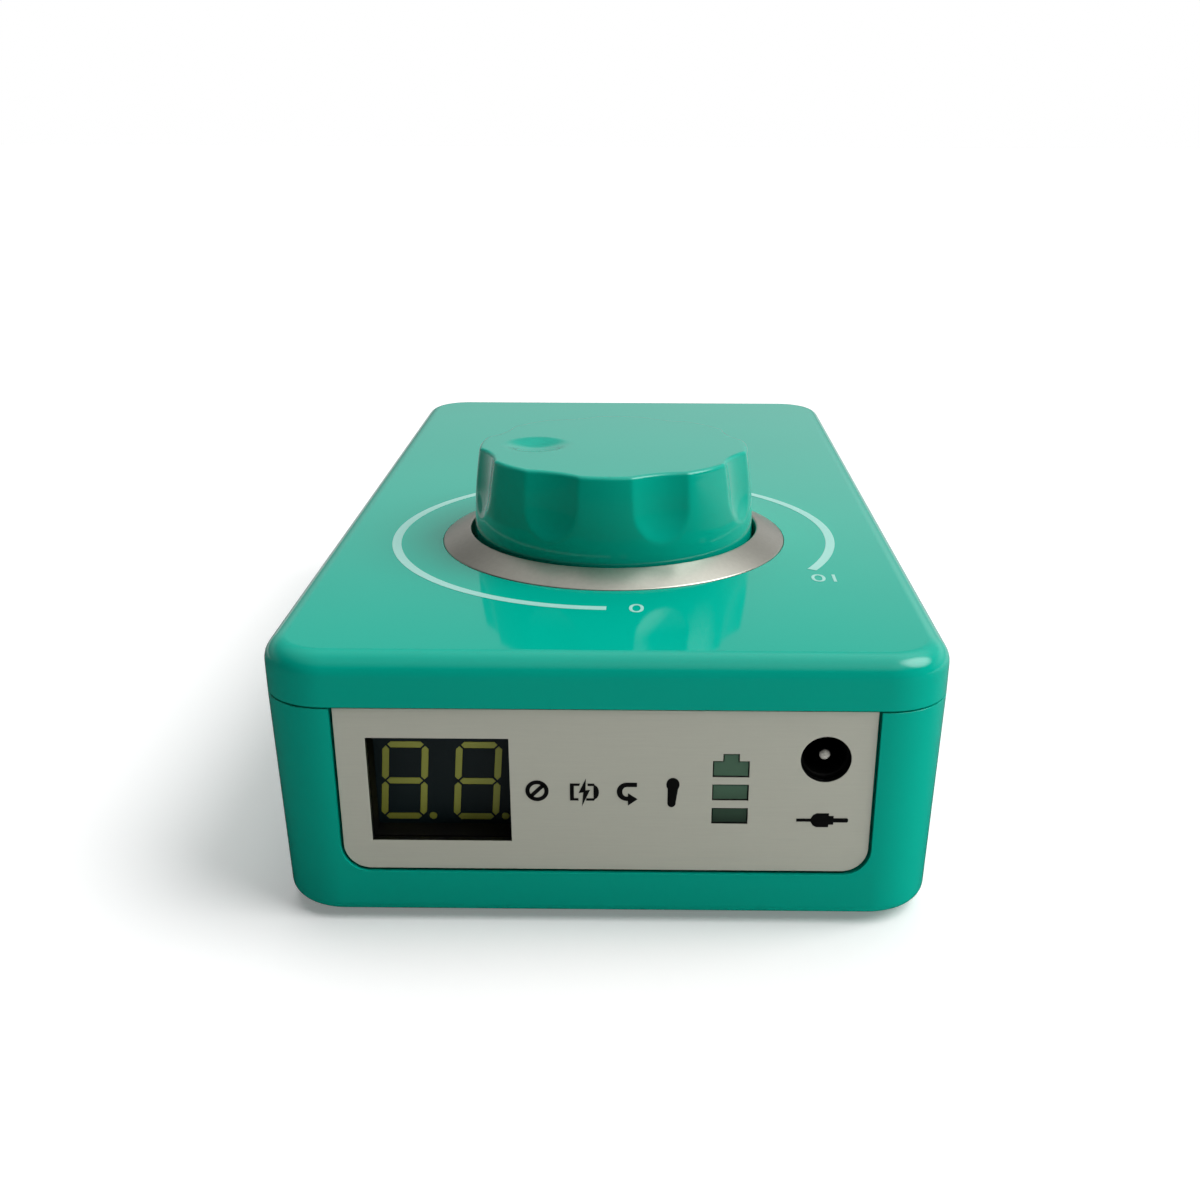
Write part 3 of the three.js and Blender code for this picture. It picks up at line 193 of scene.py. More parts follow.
def pick_level_faces(piece, side):
    """Selects the faces of an open piece that look up, for side 1, or down, for side -1."""
    bpy.ops.mesh.select_mode(type="FACE")
    bpy.ops.mesh.select_all(action="DESELECT")
    mesh = bmesh.from_edit_mesh(piece.data)
    for face in mesh.faces:
        face.select_set(face.normal.z * side > 0.99)
    mesh.select_flush(False)
    bmesh.update_edit_mesh(piece.data)


def pick_edges(piece, wanted, fold=0.0):
    """Selects the edges of an open piece whose ends pass a test and that fold by more than an angle."""
    bpy.ops.mesh.select_mode(type="EDGE")
    bpy.ops.mesh.select_all(action="DESELECT")
    mesh = bmesh.from_edit_mesh(piece.data)
    for edge in mesh.edges:
        ends = [vertex.co for vertex in edge.verts]
        if edge.calc_face_angle(0.0) >= fold and wanted(*ends):
            edge.select_set(True)
    bmesh.update_edit_mesh(piece.data)


def in_plane(axis, place):
    """Test for edges that lie in a plane across one of the axes 0, 1 and 2."""
    return lambda *ends: all(abs(end[axis] - place) < HAIR for end in ends)


def round_edges(piece, wanted, width, steps, fold=0.0):
    """Rounds the edges of a piece whose ends pass a test."""
    open_piece(piece)
    pick_edges(piece, wanted, fold)
    bpy.ops.mesh.bevel(offset=width, segments=steps, affect="EDGES", clamp_overlap=False)
    close_piece()


def pull(x=0.0, y=0.0, z=0.0):
    """Extrudes what is selected by a step along each axis."""
    bpy.ops.mesh.extrude_region_move(TRANSFORM_OT_translate={"value": (x, y, z)})


def mend_mesh():
    """Merges doubles of the open piece and turns its faces outwards."""
    bpy.ops.mesh.select_mode(type="VERT")
    bpy.ops.mesh.select_all(action="SELECT")
    bpy.ops.mesh.remove_doubles(threshold=HAIR / 10)
    bpy.ops.mesh.normals_make_consistent(inside=False)


def traced(name, points):
    """Shrinks a small plane to one vertex, draws on from it through the points and leaves the piece open."""
    deselect()
    bpy.ops.mesh.primitive_plane_add(size=MM, location=points[0])
    piece = named(name)
    open_piece(piece)
    bpy.ops.mesh.select_mode(type="VERT")
    bpy.ops.mesh.select_all(action="SELECT")
    bpy.ops.mesh.merge(type="CENTER")
    for before, after in zip(points, points[1:]):
        pull(*(after - before))
    bpy.ops.mesh.select_all(action="SELECT")
    return piece


def turned(name, profile, centre=(KNOB_X, KNOB_Y, 0), along="z", sides=96, angle=2 * math.pi, start=0.0):
    """Spins a profile of radius and height points round an axis through a centre."""
    centre = Vector(centre)
    lift = Vector((0, 0, 1)) if along == "z" else Vector((0, 1, 0))
    axis = lift if along == "z" else -lift
    side = Matrix.Rotation(start, 3, axis) @ Vector((1, 0, 0))
    points = [centre + side * radius + lift * height for radius, height in profile]
    piece = traced(name, points)
    bpy.ops.mesh.spin(steps=sides, angle=angle, center=centre, axis=axis)
    mend_mesh()
    if angle < 2 * math.pi:
        bpy.ops.mesh.fill_holes(sides=0)
        mend_mesh()
    close_piece()
    return piece


def drawn(name, outline, place, depth):
    """Draws a closed outline as seen from the front, fills it and gives it its depth."""
    points = [Vector(place) + Vector((u, 0, v)) for u, v in outline]
    points.append(points[0])
    piece = traced(name, points)
    mend_mesh()
    bpy.ops.mesh.edge_face_add()
    pull(y=depth)
    mend_mesh()
    close_piece()
    return piece


def arc(x, y, across, up, first, last, steps):
    """Points of an elliptical arc between two angles in degrees."""
    points = []
    for step in range(steps + 1):
        angle = math.radians(first + (last - first) * step / steps)
        points.append((x + across * math.cos(angle), y + up * math.sin(angle)))
    return points


def joined(name, pieces):
    """Makes one object of several."""
    choose(*pieces)
    bpy.ops.object.join()
    pieces[0].name = pieces[0].data.name = name
    return pieces[0]


def modify(piece, kind, **settings):
    """Adds a modifier to a piece, sets it and applies it."""
    modifier = piece.modifiers.new(kind, kind)
    for name, value in settings.items():
        setattr(modifier, name, value)
    bpy.context.view_layer.objects.active = piece
    bpy.ops.object.modifier_apply(modifier=modifier.name)


def carve(piece, tool, operation="DIFFERENCE"):
    """Cuts a tool out of a piece, or adds it to the piece, and removes the tool."""
    modify(piece, "BOOLEAN", operation=operation, object=tool, solver="EXACT")
    bpy.data.objects.remove(tool, do_unlink=True)


def smooth(piece, weighted=True):
    """Smooths the shading up to a crease and lets large faces stay flat beside small rounds."""
    choose(piece)
    bpy.ops.object.shade_smooth_by_angle(angle=math.radians(35))
    if weighted:
        modify(piece, "WEIGHTED_NORMAL", keep_sharp=True)
    return piece


def settle(piece, material, body="case", nodes=()):
    """Gives a finished piece its material, the body it rides on and the nodes it stands for."""
    piece.data.materials.clear()
    piece.data.materials.append(material)
    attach(piece, body)
    if nodes:
        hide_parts(*nodes)


# Materials

def linear(code):
    """Turns an sRGB hex colour to linear values."""
    parts = [int(code[place:place + 2], 16) / 255 for place in (1, 3, 5)]
    return [part / 12.92 if part <= 0.04045 else ((part + 0.055) / 1.055) ** 2.4 for part in parts] + [1]


def add_node(tree, kind, inputs=None, **settings):
    """Adds a node, sets its properties and feeds its sockets with values or with other nodes' outputs."""
    node = tree.nodes.new(kind)
    for name, value in settings.items():
        setattr(node, name, value)
    for name, value in (inputs or {}).items():
        if isinstance(value, bpy.types.NodeSocket):
            tree.links.new(value, node.inputs[name])
        else:
            node.inputs[name].default_value = value
    return node


def new_finish(name, sockets):
    """Starts a material and returns it with its node tree, its shader and the place on the object."""
    material = bpy.data.materials.new(name)
    material.use_nodes = True
    tree = material.node_tree
    shader = tree.nodes["Principled BSDF"]
    for socket, value in sockets.items():
        shader.inputs[socket].default_value = value
    place = add_node(tree, "ShaderNodeTexCoord").outputs["Object"]
    return material, tree, shader, place


def mixed(tree, share, first, second):
    """A colour between two others."""
    return add_node(tree, "ShaderNodeMix", {0: share, 6: first, 7: second}, data_type="RGBA").outputs[2]


def surface(tree, shader, colour, marks, roughness, spread, depth):
    """Gives a shader its colour, and gloss and relief that follow the same marks."""
    tree.links.new(colour, shader.inputs["Base Color"])
    gloss = add_node(tree, "ShaderNodeMapRange", {0: marks, 3: roughness - spread, 4: roughness + spread})
    tree.links.new(gloss.outputs[0], shader.inputs["Roughness"])
    bump = add_node(tree, "ShaderNodeBump", {"Height": marks, "Distance": depth, "Strength": 1.0})
    tree.links.new(bump.outputs[0], shader.inputs["Normal"])


def moulded(name, colour, shade, roughness, waviness, ior, grain, depth=0.002, gleam=0.5):
    """A moulded plastic: colour that drifts with the melt, uneven gloss and a skin's grain in millimetres."""
    material, tree, shader, place = new_finish(name, {"IOR": ior, "Specular IOR Level": gleam})
    drift = 22 * MM
    melt = add_node(tree, "ShaderNodeTexNoise", {"Vector": place, "Scale": 1 / drift, "Detail": 2.0})
    tint = mixed(tree, melt.outputs[0], linear(colour), linear(shade))
    skin = add_node(tree, "ShaderNodeTexNoise", {"Vector": place, "Scale": 1 / (grain * MM), "Detail": 4.0})
    surface(tree, shader, tint, skin.outputs[0], roughness, waviness, depth * MM)
    return material


def metal(name, colour, shade, roughness, spread, grain, depth, stretch=(1, 1, 1), metallic=1.0):
    """A metal whose tool marks, in millimetres, are a noise stretched along the tool's way."""
    material, tree, shader, place = new_finish(name, {"Metallic": metallic})
    way = add_node(tree, "ShaderNodeMapping", {"Vector": place, "Scale": stretch})
    marks = add_node(tree, "ShaderNodeTexNoise",
                     {"Vector": way.outputs[0], "Scale": 1 / (grain * MM), "Detail": 5.0, "Roughness": 0.6})
    tint = mixed(tree, marks.outputs[0], linear(colour), linear(shade))
    surface(tree, shader, tint, marks.outputs[0], roughness, spread, depth * MM)
    return material


def dark_behind(material, near, far, axis="Y"):
    """Blends a material into near black between two places along an axis."""
    tree = material.node_tree
    shader = tree.nodes["Principled BSDF"]
    place = add_node(tree, "ShaderNodeTexCoord").outputs["Object"]
    along = add_node(tree, "ShaderNodeSeparateXYZ", {0: place}).outputs[axis]
    depth = add_node(tree, "ShaderNodeMapRange", {0: along, 1: near, 2: far})
    front = shader.inputs["Base Color"].links[0].from_socket
    tree.links.new(mixed(tree, depth.outputs[0], front, linear("#060707")), shader.inputs["Base Color"])


# Polished-tool ABS: clear mirror images with the faint waviness of the moulded skin
teal_abs = moulded("glossy_moulded_abs", "#00b49c", "#00ae98", 0.07, 0.012, 1.5, 3, 0.0012)
# Spark-eroded black polyamide: a dull even skin that swallows light round the sockets and in the tunnel
black_polyamide = moulded("black_moulded_polyamide", "#060606", "#0a0a0a", 0.6, 0.06, 1.53, 0.25, gleam=0.25)
# Satin black ABS of buttons and slide tab: a little shinier than the sockets where fingers rub it
black_abs = moulded("satin_black_abs", "#141516", "#1b1c1d", 0.38, 0.06, 1.5, 0.35)
# Display moulding: slate-grey filled epoxy face with a dull sheen
slate_epoxy = moulded("slate_display_epoxy", "#182c2f", "#1c3134", 0.42, 0.05, 1.5, 0.4)
# Diffusing resin of the unlit segments: milky olive
olive_resin = moulded("olive_segment_resin", "#b8bd4c", "#abb044", 0.45, 0.05, 1.5, 0.6)
# Tinted acrylic of the gauge windows: dark green and smooth
green_acrylic_painted_shade = moulded("tinted_gauge_acrylic_painted_shade", "#4c6c59", "#55745f", 0.12, 0.02, 1.49, 2)
# Painted shade: the colour darkens towards the bottom, standing in for less light from behind, so the lowest
# window looks darkest
LENS_SHADE_START = 16 * MM
LENS_SHADE_END = 10.5 * MM
dark_behind(green_acrylic_painted_shade, LENS_SHADE_START, LENS_SHADE_END, "Z")
# Moulded nitrile rubber: matt charcoal with a dusty grain
nitrile_rubber = moulded("moulded_nitrile_rubber", "#26282a", "#2e3032", 0.85, 0.06, 1.52, 0.2)
# Screen-printed inks: opaque, slightly raised and satin
black_ink = moulded("black_screen_ink", "#060606", "#0b0b0b", 0.55, 0.05, 1.45, 0.2)
white_ink = moulded("white_screen_ink", "#9dd4ca", "#abddd3", 0.4, 0.05, 1.5, 0.2)
# Brushed aluminium film under matt lacquer: long level hairlines, drawn coarser than real, warm grey
brushed_film = metal("brushed_satin_film", "#dbdccc", "#d3d4c5", 0.42, 0.05, 0.18, 0.001, (0.04, 1, 1), 0.15)
# The film lies on a black carrier plate, so every cut edge of the panel is a dark line
FILM = 0.05 * MM
dark_behind(brushed_film, PANEL_LOW.y + FILM, PANEL_LOW.y + 2 * FILM)
# Bead-blasted aluminium of the turned ring: soft even grain
blasted_aluminium = metal("blasted_aluminium", "#d0cec3", "#bebcb1", 0.3, 0.05, 0.6, 0.004)
# Zinc-plated steel: cool grey, slightly mottled
zinc_steel = metal("zinc_plated_steel", "#a3a6a8", "#8f9294", 0.32, 0.06, 0.8, 0.002)
# Nickel-plated contacts: bright and faintly yellow
nickel_plate = metal("nickel_plated_contact", "#f0ece0", "#e2dfd2", 0.4, 0.04, 0.5, 0.001, metallic=0.6)
# Painted highlight and painted shade on the motor socket's contact: a paler, less metallic nickel for a
# bright tip, blended to near black behind it
contact_painted_highlight = metal("nickel_contact_painted_highlight_and_shade", "#fbf8ee", "#f2efe4", 0.45, 0.04, 0.5, 0.001, metallic=0.3)
HIGHLIGHT_TIP = 0.25 * MM
PAINTED_SHADE_START = 0.4 * MM
dark_behind(contact_painted_highlight, MOTOR_TIP + HIGHLIGHT_TIP, MOTOR_TIP + PAINTED_SHADE_START)
# Turned brass of the potentiometer's nut: warm, with fine turning marks
turned_brass = metal("turned_brass", "#bf9f5c", "#a98a4c", 0.28, 0.05, 0.3, 0.002, (1, 1, 6))
# Glass-epoxy laminate under green solder mask: glossy lacquer over a faint weave
solder_mask = moulded("solder_masked_laminate", "#1c5a3a", "#226643", 0.3, 0.05, 1.5, 0.7)
# PVC shrink sleeve of the cells: smooth blue film
shrink_sleeve = moulded("pvc_shrink_sleeve", "#3d6ea6", "#4576ad", 0.3, 0.04, 1.53, 4)
# Closed-cell foam of the pad: open grain, no shine
cell_foam = moulded("closed_cell_foam", "#38393b", "#424446", 0.95, 0.04, 1.45, 0.5, 0.06)
# White nylon of lamps and board plug
white_nylon = moulded("white_moulded_nylon", "#e6e4d6", "#dcdaca", 0.45, 0.05, 1.53, 0.4)
# Drawn aluminium can of the capacitor
drawn_aluminium = metal("drawn_aluminium_can", "#b4b5b8", "#a5a6a9", 0.25, 0.05, 0.3, 0.001, (4, 4, 0.3))
# Pressed ferrite of the coil: dull dark grey
pressed_ferrite = moulded("pressed_ferrite", "#323335", "#3b3c3e", 0.7, 0.06, 1.6, 0.3)


# Shells

def case_blank(name, low_z, high_z):
    """Block with the plan of the box, its four upright edges rounded."""
    blank = block(name, (CASE_LOW.x, CASE_LOW.y, low_z), (CASE_HIGH.x, CASE_HIGH.y, high_z))
    round_edges(blank, lambda a, b: abs(a.z - b.z) > GAP, CORNER_RADIUS, CORNER_STEPS)
    return blank


def hollow_out(shell, side, rim, tongue, way):
    """Sinks a shell's hollow from its flat side, with the step of the tongue at the seam."""
    open_piece(shell)
    pick_level_faces(shell, side)
    bpy.ops.mesh.inset(thickness=rim)
    pull(z=TONGUE_RISE)
    bpy.ops.mesh.inset(thickness=tongue)
    pull(z=way - TONGUE_RISE)
    close_piece()


def places_of(node):
    """Middles of the four screws or of the four feet, at the height of the table."""
    middles = [middle_of(f"{node}_{number}") for number in range(1, 5)]
    return [Vector((x, y, 0)) for x, y, _ in middles]


SCREW_PLACES = places_of("case_screw")
FOOT_PLACES = places_of("rubber_foot")


def rods(name, places, radius, low, high):
    """Equal upright rods at several places, as one object."""
    return joined(name, [rod(name, radius, (p.x, p.y, low), (p.x, p.y, high), 48) for p in places])


def cover_shell():
    rim = SEAM + SEAM_GAP
    shell = case_blank("cover_shell", rim, COVER_TOP)
    round_edges(shell, in_plane(2, COVER_TOP), TOP_ROUND, ROUND_STEPS)
    round_edges(shell, in_plane(2, rim), RIM_ROUND, 3)
    hollow_out(shell, -1, WALL - TONGUE - GAP - RIM_ROUND, TONGUE + GAP, CEILING - rim)
    boss_low = WELL_FLOOR - WELL_THICK
    boss_ends = ((KNOB_X, KNOB_Y, boss_low), (KNOB_X, KNOB_Y, RING_SEAT))
    carve(shell, rod("well_boss", WELL_RADIUS + WALL, *boss_ends, 128), "UNION")
    post_low = CASE_LOW.z + BOSS_RISE + GAP
    carve(shell, rods("posts", SCREW_PLACES, POST_RADIUS, post_low, CEILING + WALL / 2), "UNION")
    carve(shell, rods("pilots", SCREW_PLACES, PILOT_RADIUS, post_low - OVER, CEILING - OVER))
    bush = 3.8 * MM
    seat = RING_RADIUS + SEAT_GAP
    steps = [(0, boss_low - OVER), (bush, boss_low - OVER), (bush, WELL_FLOOR), (WELL_RADIUS, WELL_FLOOR),
             (WELL_RADIUS, RING_SEAT), (seat, RING_SEAT), (seat, COVER_TOP + OVER), (0, COVER_TOP + OVER)]
    carve(shell, turned("well_tool", steps, sides=160))
    axis = Vector((KNOB_X, KNOB_Y))

    def at_seat(*ends):
        return in_plane(2, COVER_TOP)(*ends) and all((end.xy - axis).length < seat + HAIR for end in ends)

    round_edges(shell, at_seat, SEAT_ROUND, 2, fold=1)
    return smooth(shell)


def panel_blank(name, grow, near, far, top):
    """Block with the panel's outline grown by a distance, its two lower corners rounded."""
    low = (PANEL_LOW.x - grow, near, PANEL_LOW.z - grow)
    high = (PANEL_HIGH.x + grow, far, top)
    blank = block(name, low, high)

    def at_corner(a, b):
        return abs(a.y - b.y) > HAIR and max(a.z, b.z) < PANEL_LOW.z + PANEL_CORNER

    round_edges(blank, at_corner, PANEL_CORNER + grow, 12)
    return blank


def field_blank(name, grow, near, far):
    """Block with the rounded outline of the sunk field in the rear wall."""
    half = Vector((FIELD_WIDTH / 2 + grow, 0, FIELD_HEIGHT / 2 + grow))
    blank = block(name, (-half.x, near, FIELD_Z - half.z), (half.x, far, FIELD_Z + half.z))
    round_edges(blank, lambda a, b: abs(a.y - b.y) > HAIR, FIELD_ROUND + grow, 10)
    return blank


def rear_openings():
    """Tools for the holes of sockets, buttons and slide tab in the sunk field."""
    near = FIELD_INSIDE - OVER
    far = REAR - FIELD_DEPTH + OVER
    tools = []
    for node, radius in REAR_HOLES.items():
        tools.append(level_rod(radius, middle_of(node)[0], FIELD_Z, near, far, 64))
    low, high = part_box("power_tab")
    low -= Vector((GAP, 0, GAP))
    high += Vector((GAP + TAB_TRAVEL, 0, GAP))
    tools.append(block("slot", (low.x, near, low.z), (high.x, far, high.z)))
    return joined("rear_openings", tools)


def case_shell():
    shell = case_blank("case_shell", CASE_LOW.z, SEAM)
    open_piece(shell)
    pick_level_faces(shell, -1)
    bpy.ops.transform.resize(value=(1 - SIDE_DRAFT / CASE_HIGH.x, 1, 1), center_override=(0, 0, CASE_LOW.z))
    close_piece()
    round_edges(shell, in_plane(2, CASE_LOW.z), BOTTOM_ROUND, 6)
    round_edges(shell, in_plane(2, SEAM), RIM_ROUND, 3)
    hollow_out(shell, 1, WALL - TONGUE - RIM_ROUND, TONGUE, FLOOR - SEAM)
    reach = PANEL_HIGH.x + PANEL_LEDGE
    panel_back = PANEL_HIGH.y + GAP
    panel_inside = FRONT + PANEL_WALL
    front_low = (-reach, FRONT + WALL / 2, FLOOR - WALL / 2)
    carve(shell, block("front_wall", front_low, (reach, panel_inside, SEAM)), "UNION")
    carve(shell, field_blank("field_wall", WALL / 2, FIELD_INSIDE, REAR - WALL / 2), "UNION")
    boss_top = CASE_LOW.z + BOSS_RISE
    carve(shell, rods("bosses", SCREW_PLACES, BOSS_RADIUS, FLOOR - WALL / 2, boss_top), "UNION")
    above = SEAM + 3 * OVER
    carve(shell, panel_blank("panel_recess", GAP, FRONT - OVER, panel_back, above))
    carve(shell, panel_blank("panel_opening", -PANEL_LEDGE, FRONT - OVER, panel_inside + OVER, above))
    carve(shell, field_blank("field_recess", 0, REAR - FIELD_DEPTH, REAR + OVER))
    carve(shell, rear_openings())
    under = CASE_LOW.z - OVER
    head_top = CASE_LOW.z + HEAD_HOLE_DEPTH
    carve(shell, rods("head_holes", SCREW_PLACES, HEAD_HOLE_RADIUS, under, head_top))
    carve(shell, rods("screw_holes", SCREW_PLACES, PILOT_RADIUS, head_top - OVER, boss_top + OVER))
    carve(shell, rods("foot_seats", FOOT_PLACES, FOOT_SEAT_RADIUS, under, CASE_LOW.z + FOOT_SEAT_DEPTH))
    below_rim = SEAM - RIM_ROUND - GAP
    for plane, width, steps in ((FRONT, CUT_ROUND, 2), (REAR, COLLAR_ROUND, 3)):

        def below_seam(*ends):
            return in_plane(1, plane)(*ends) and all(end.z < below_rim for end in ends)

        round_edges(shell, below_seam, width, steps, fold=1)
    return smooth(shell)


settle(cover_shell(), teal_abs, nodes=["top_cover"])
settle(case_shell(), teal_abs, nodes=["bottom_case"])


# Feet and case screws

def copies(piece, places, name):
    """Copies a piece modelled at the origin to several places, each copy with its own mesh."""
    made = []
    for number, place in enumerate(places, 1):
        copy = piece.copy()
        copy.data = piece.data.copy()
        copy.data.transform(Matrix.Translation(place))
        copy.name = copy.data.name = f"{name}_{number}"
        bpy.context.collection.objects.link(copy)
        made.append(copy)
    bpy.data.objects.remove(piece, do_unlink=True)
    return made


def rubber_foot():
    """Round foot with a soft lower edge and a shallow dish in its sole."""
    low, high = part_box("rubber_foot_1")
    radius = (high.x - low.x) / 2
    edge = 0.4 * MM
    dish_radius = 2.2 * MM
    dish_depth = 0.25 * MM
    bowl_radius = 1.6 * MM
    bowl_depth = 0.15 * MM
    profile = [(0, dish_depth), (bowl_radius, bowl_depth), (dish_radius, 0)]
    profile += arc(radius - edge, edge, edge, edge, -90, 0, 6) + [(radius, high.z), (0, high.z)]
    return smooth(turned("foot", profile, centre=(0, 0, 0), sides=64))


def case_screw():
    """Self-tapping screw, head down, with a cross recess and rings for its thread."""
    low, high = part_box("case_screw_1")
    head = (high.x - low.x) / 2
    head_height = 1.8 * MM
    head_round = 0.6 * MM
    head_top = low.z + head_height
    core = 1.05 * MM
    crest = 1.25 * MM
    pitch = 0.9 * MM
    plain_end = 1.5 * MM
    point = 1.3 * MM
    profile = [(0, low.z)] + arc(head - head_round, low.z + head_round, head_round, head_round, -90, 0, 6)
    profile += [(head, head_top), (core, head_top)]
    turns = int((high.z - plain_end - head_top) / pitch)
    for turn in range(1, turns):
        level = head_top + pitch * turn
        profile += [(core, level - pitch / 3), (crest, level), (core, level + pitch / 6)]
    profile += [(core, high.z - point), (0, high.z)]
    screw = turned("screw", profile, centre=(0, 0, 0), sides=32)
    arm = Vector((1.15, 0.35, 0)) * MM
    slot_depth = 0.9 * MM
    slot_top = low.z + slot_depth
    for reach in (arm, arm.yxz):
        carve(screw, block("slot", (-reach.x, -reach.y, low.z - OVER), (reach.x, reach.y, slot_top)))
    return smooth(screw)


for number, foot in enumerate(copies(rubber_foot(), FOOT_PLACES, "foot"), 1):
    settle(foot, nitrile_rubber, nodes=[f"rubber_foot_{number}"])
for number, screw in enumerate(copies(case_screw(), SCREW_PLACES, "screw"), 1):
    settle(screw, zinc_steel, nodes=[f"case_screw_{number}"])


# Speed knob and its ring

FLUTES = 8
FLUTE_RADIUS = 11 * MM
FLUTE_DEPTH = 0.88 * MM
FLUTE_LENGTH = 3.9 * MM
FLUTE_RUN_OUT = 3.7 * MM
FLUTE_TURN = math.radians(-90 + 20.5)  # one flute, counted from straight ahead to the right
FLUTE_BLEND = 0.16 * MM  # how far a flute's edge is rounded
CROWN_CORE = 0.6  # share of the crown's radius that the flutes leave alone
DIMPLE_WIDTH = 6.2 * MM
DIMPLE_DEPTH = 0.55 * MM
DIMPLE_BLEND = 0.5 * MM
DIMPLE_FROM_AXIS = 9.4 * MM
DIMPLE_ANGLE = math.radians(182)  # at rest, counted from the right


def soft_least(a, b, blend):
    """The smaller of two values, with the change from one to the other rounded."""
    nearness = max(blend - abs(a - b), 0) / blend
    return min(a, b) - nearness ** 2 * blend / 4


def side_radius(height):
    """Radius of the knob's barrel-shaped side at a height."""
    share = (height - KNOB_LOW) / (KNOB_TOP - KNOB_RIM - KNOB_LOW)
    return KNOB_RADIUS + (KNOB_TOP_RADIUS - KNOB_RADIUS) * share + KNOB_BULGE * 4 * share * (1 - share)


def flute_face(angle, height):
    """Distance from the axis to the nearest flute's hollow face, which follows the side and runs out."""
    pitch = 2 * math.pi / FLUTES
    off = (angle - FLUTE_TURN + pitch / 2) % pitch - pitch / 2
    drop = max(0, KNOB_TOP - FLUTE_LENGTH - height) / FLUTE_RUN_OUT
    floor = side_radius(height) - FLUTE_DEPTH * (1 - drop ** 2)
    centre = KNOB_TOP_RADIUS - FLUTE_DEPTH + FLUTE_RADIUS
    radius = centre - floor
    return centre * math.cos(off) - math.sqrt(max(radius ** 2 - (centre * math.sin(off)) ** 2, 0))


def dimple_depth(x, y):
    """Depth of the finger dimple under a point of the knob's crown."""
    ball = ((DIMPLE_WIDTH / 2) ** 2 + DIMPLE_DEPTH ** 2) / (2 * DIMPLE_DEPTH)
    middle = Vector((math.cos(DIMPLE_ANGLE), math.sin(DIMPLE_ANGLE))) * DIMPLE_FROM_AXIS
    away = (Vector((x, y)) - middle).length
    if away > DIMPLE_WIDTH:
        return 0
    depth = math.sqrt(ball ** 2 - away ** 2) - (ball - DIMPLE_DEPTH)
    return -soft_least(-depth, 0, DIMPLE_BLEND)


def speed_knob():
    """Barrel-shaped knob, spun from its profile, then fluted and dimpled by moving its vertices."""
    rim_z = KNOB_TOP - KNOB_RIM
    crown_thick = 2.2 * MM
    side_thick = 2.6 * MM
    hub_gap = 4.3 * MM
    ceiling = KNOB_TOP - crown_thick
    hollow = KNOB_TOP_RADIUS - side_thick
    hub = 5 * MM
    hub_low = WELL_FLOOR + hub_gap
    bore = 3.3 * MM
    profile = [(0, ceiling), (bore, ceiling), (bore, hub_low), (hub, hub_low), (hub, ceiling - HAIR),
               (hollow, ceiling - HAIR), (hollow, KNOB_LOW)]
    steps = 44
    for step in range(steps + 1):
        height = KNOB_LOW + (rim_z - KNOB_LOW) * step / steps
        profile.append((side_radius(height), height))
    crown = KNOB_TOP_RADIUS - KNOB_RIM
    profile += arc(crown, rim_z, KNOB_RIM, KNOB_RIM, 0, 90, 6)[1:]
    profile += [(crown * (1 - step / steps), KNOB_TOP) for step in range(1, steps + 1)]
    knob = turned("fluted_knob", profile, sides=440)
    for vertex in knob.data.vertices:
        x = vertex.co.x - KNOB_X
        y = vertex.co.y - KNOB_Y
        radius = math.hypot(x, y)
        on_side = radius > hollow + MM and vertex.co.z < KNOB_TOP - HAIR
        on_crown = vertex.co.z > KNOB_TOP - HAIR
        if not (on_side or on_crown) or radius < HAIR:
            continue
        angle = math.atan2(y, x)
        height = min(vertex.co.z, rim_z)
        barrel = KNOB_TOP_RADIUS if vertex.co.z > rim_z - HAIR else radius
        change = soft_least(barrel, flute_face(angle, height), FLUTE_BLEND) - barrel
        ease = 1 if on_side else max(radius / crown - CROWN_CORE, 0) / (1 - CROWN_CORE)
        scale = (radius + change * ease) / radius
        vertex.co.x = KNOB_X + x * scale
        vertex.co.y = KNOB_Y + y * scale
        if on_crown:
            vertex.co.z -= dimple_depth(x * scale, y * scale)
    return smooth(knob, weighted=False)


def knob_ring():
    """Conical ring that rises from a low lip to a rounded crest beside the knob."""
    inner = WELL_RADIUS
    outer = RING_RADIUS
    crest = RING_HIGH.z
    lip_rise = 0.14 * MM
    lip = COVER_TOP + lip_rise
    edge = 0.22 * MM
    slope = math.degrees(math.atan2(crest - lip, RING_WIDTH - 2 * edge))
    profile = [(inner, RING_LOW.z), (outer, RING_LOW.z)]
    profile += arc(outer - edge, lip - edge, edge, edge, 0, 90 - slope, 6)
    profile += arc(inner + edge, crest - edge, edge, edge, 90 - slope, 180, 8)
    profile.append(profile[0])
    return smooth(turned("turned_ring", profile, sides=256), weighted=False)


settle(speed_knob(), teal_abs, "knob", ["speed_knob"])
settle(knob_ring(), blasted_aluminium, nodes=["knob_ring"])


# Prints on the cover: the speed scale and the numbers at its ends

NUMBER_HEIGHT = 2.6 * MM


def flat_ring(inner, outer, low, high):
    """Closed profile of a flat ring."""
    return [(inner, low), (outer, low), (outer, high), (inner, high), (inner, low)]


def scale_arc():
    """White band round the ring, from straight ahead by the left and the rear to the right front."""
    middle = 26.9 * MM
    half = 0.55 * MM
    sweep = math.radians(299.5)
    front = math.radians(-90.5)
    profile = flat_ring(middle - half, middle + half, COVER_TOP, COVER_TOP + INK)
    return smooth(turned("scale_arc", profile, sides=180, angle=sweep, start=front), weighted=False)


def printed_number(name, words, x, y):
    """A number printed on the cover, read from behind the box."""
    type_height = 0.72  # a figure's height as a share of the type size
    deselect()
    bpy.ops.object.text_add(location=(x, y, COVER_TOP + INK / 2), rotation=(0, 0, math.pi))
    text = bpy.context.object
    text.data.body = words
    text.data.size = NUMBER_HEIGHT / type_height
    text.data.align_x = "CENTER"
    text.data.align_y = "CENTER"
    text.data.extrude = INK / 2
    text.data.resolution_u = 8
    bpy.ops.object.convert(target="MESH")
    number = named(name)
    open_piece(number)
    mend_mesh()
    close_piece()
    return number


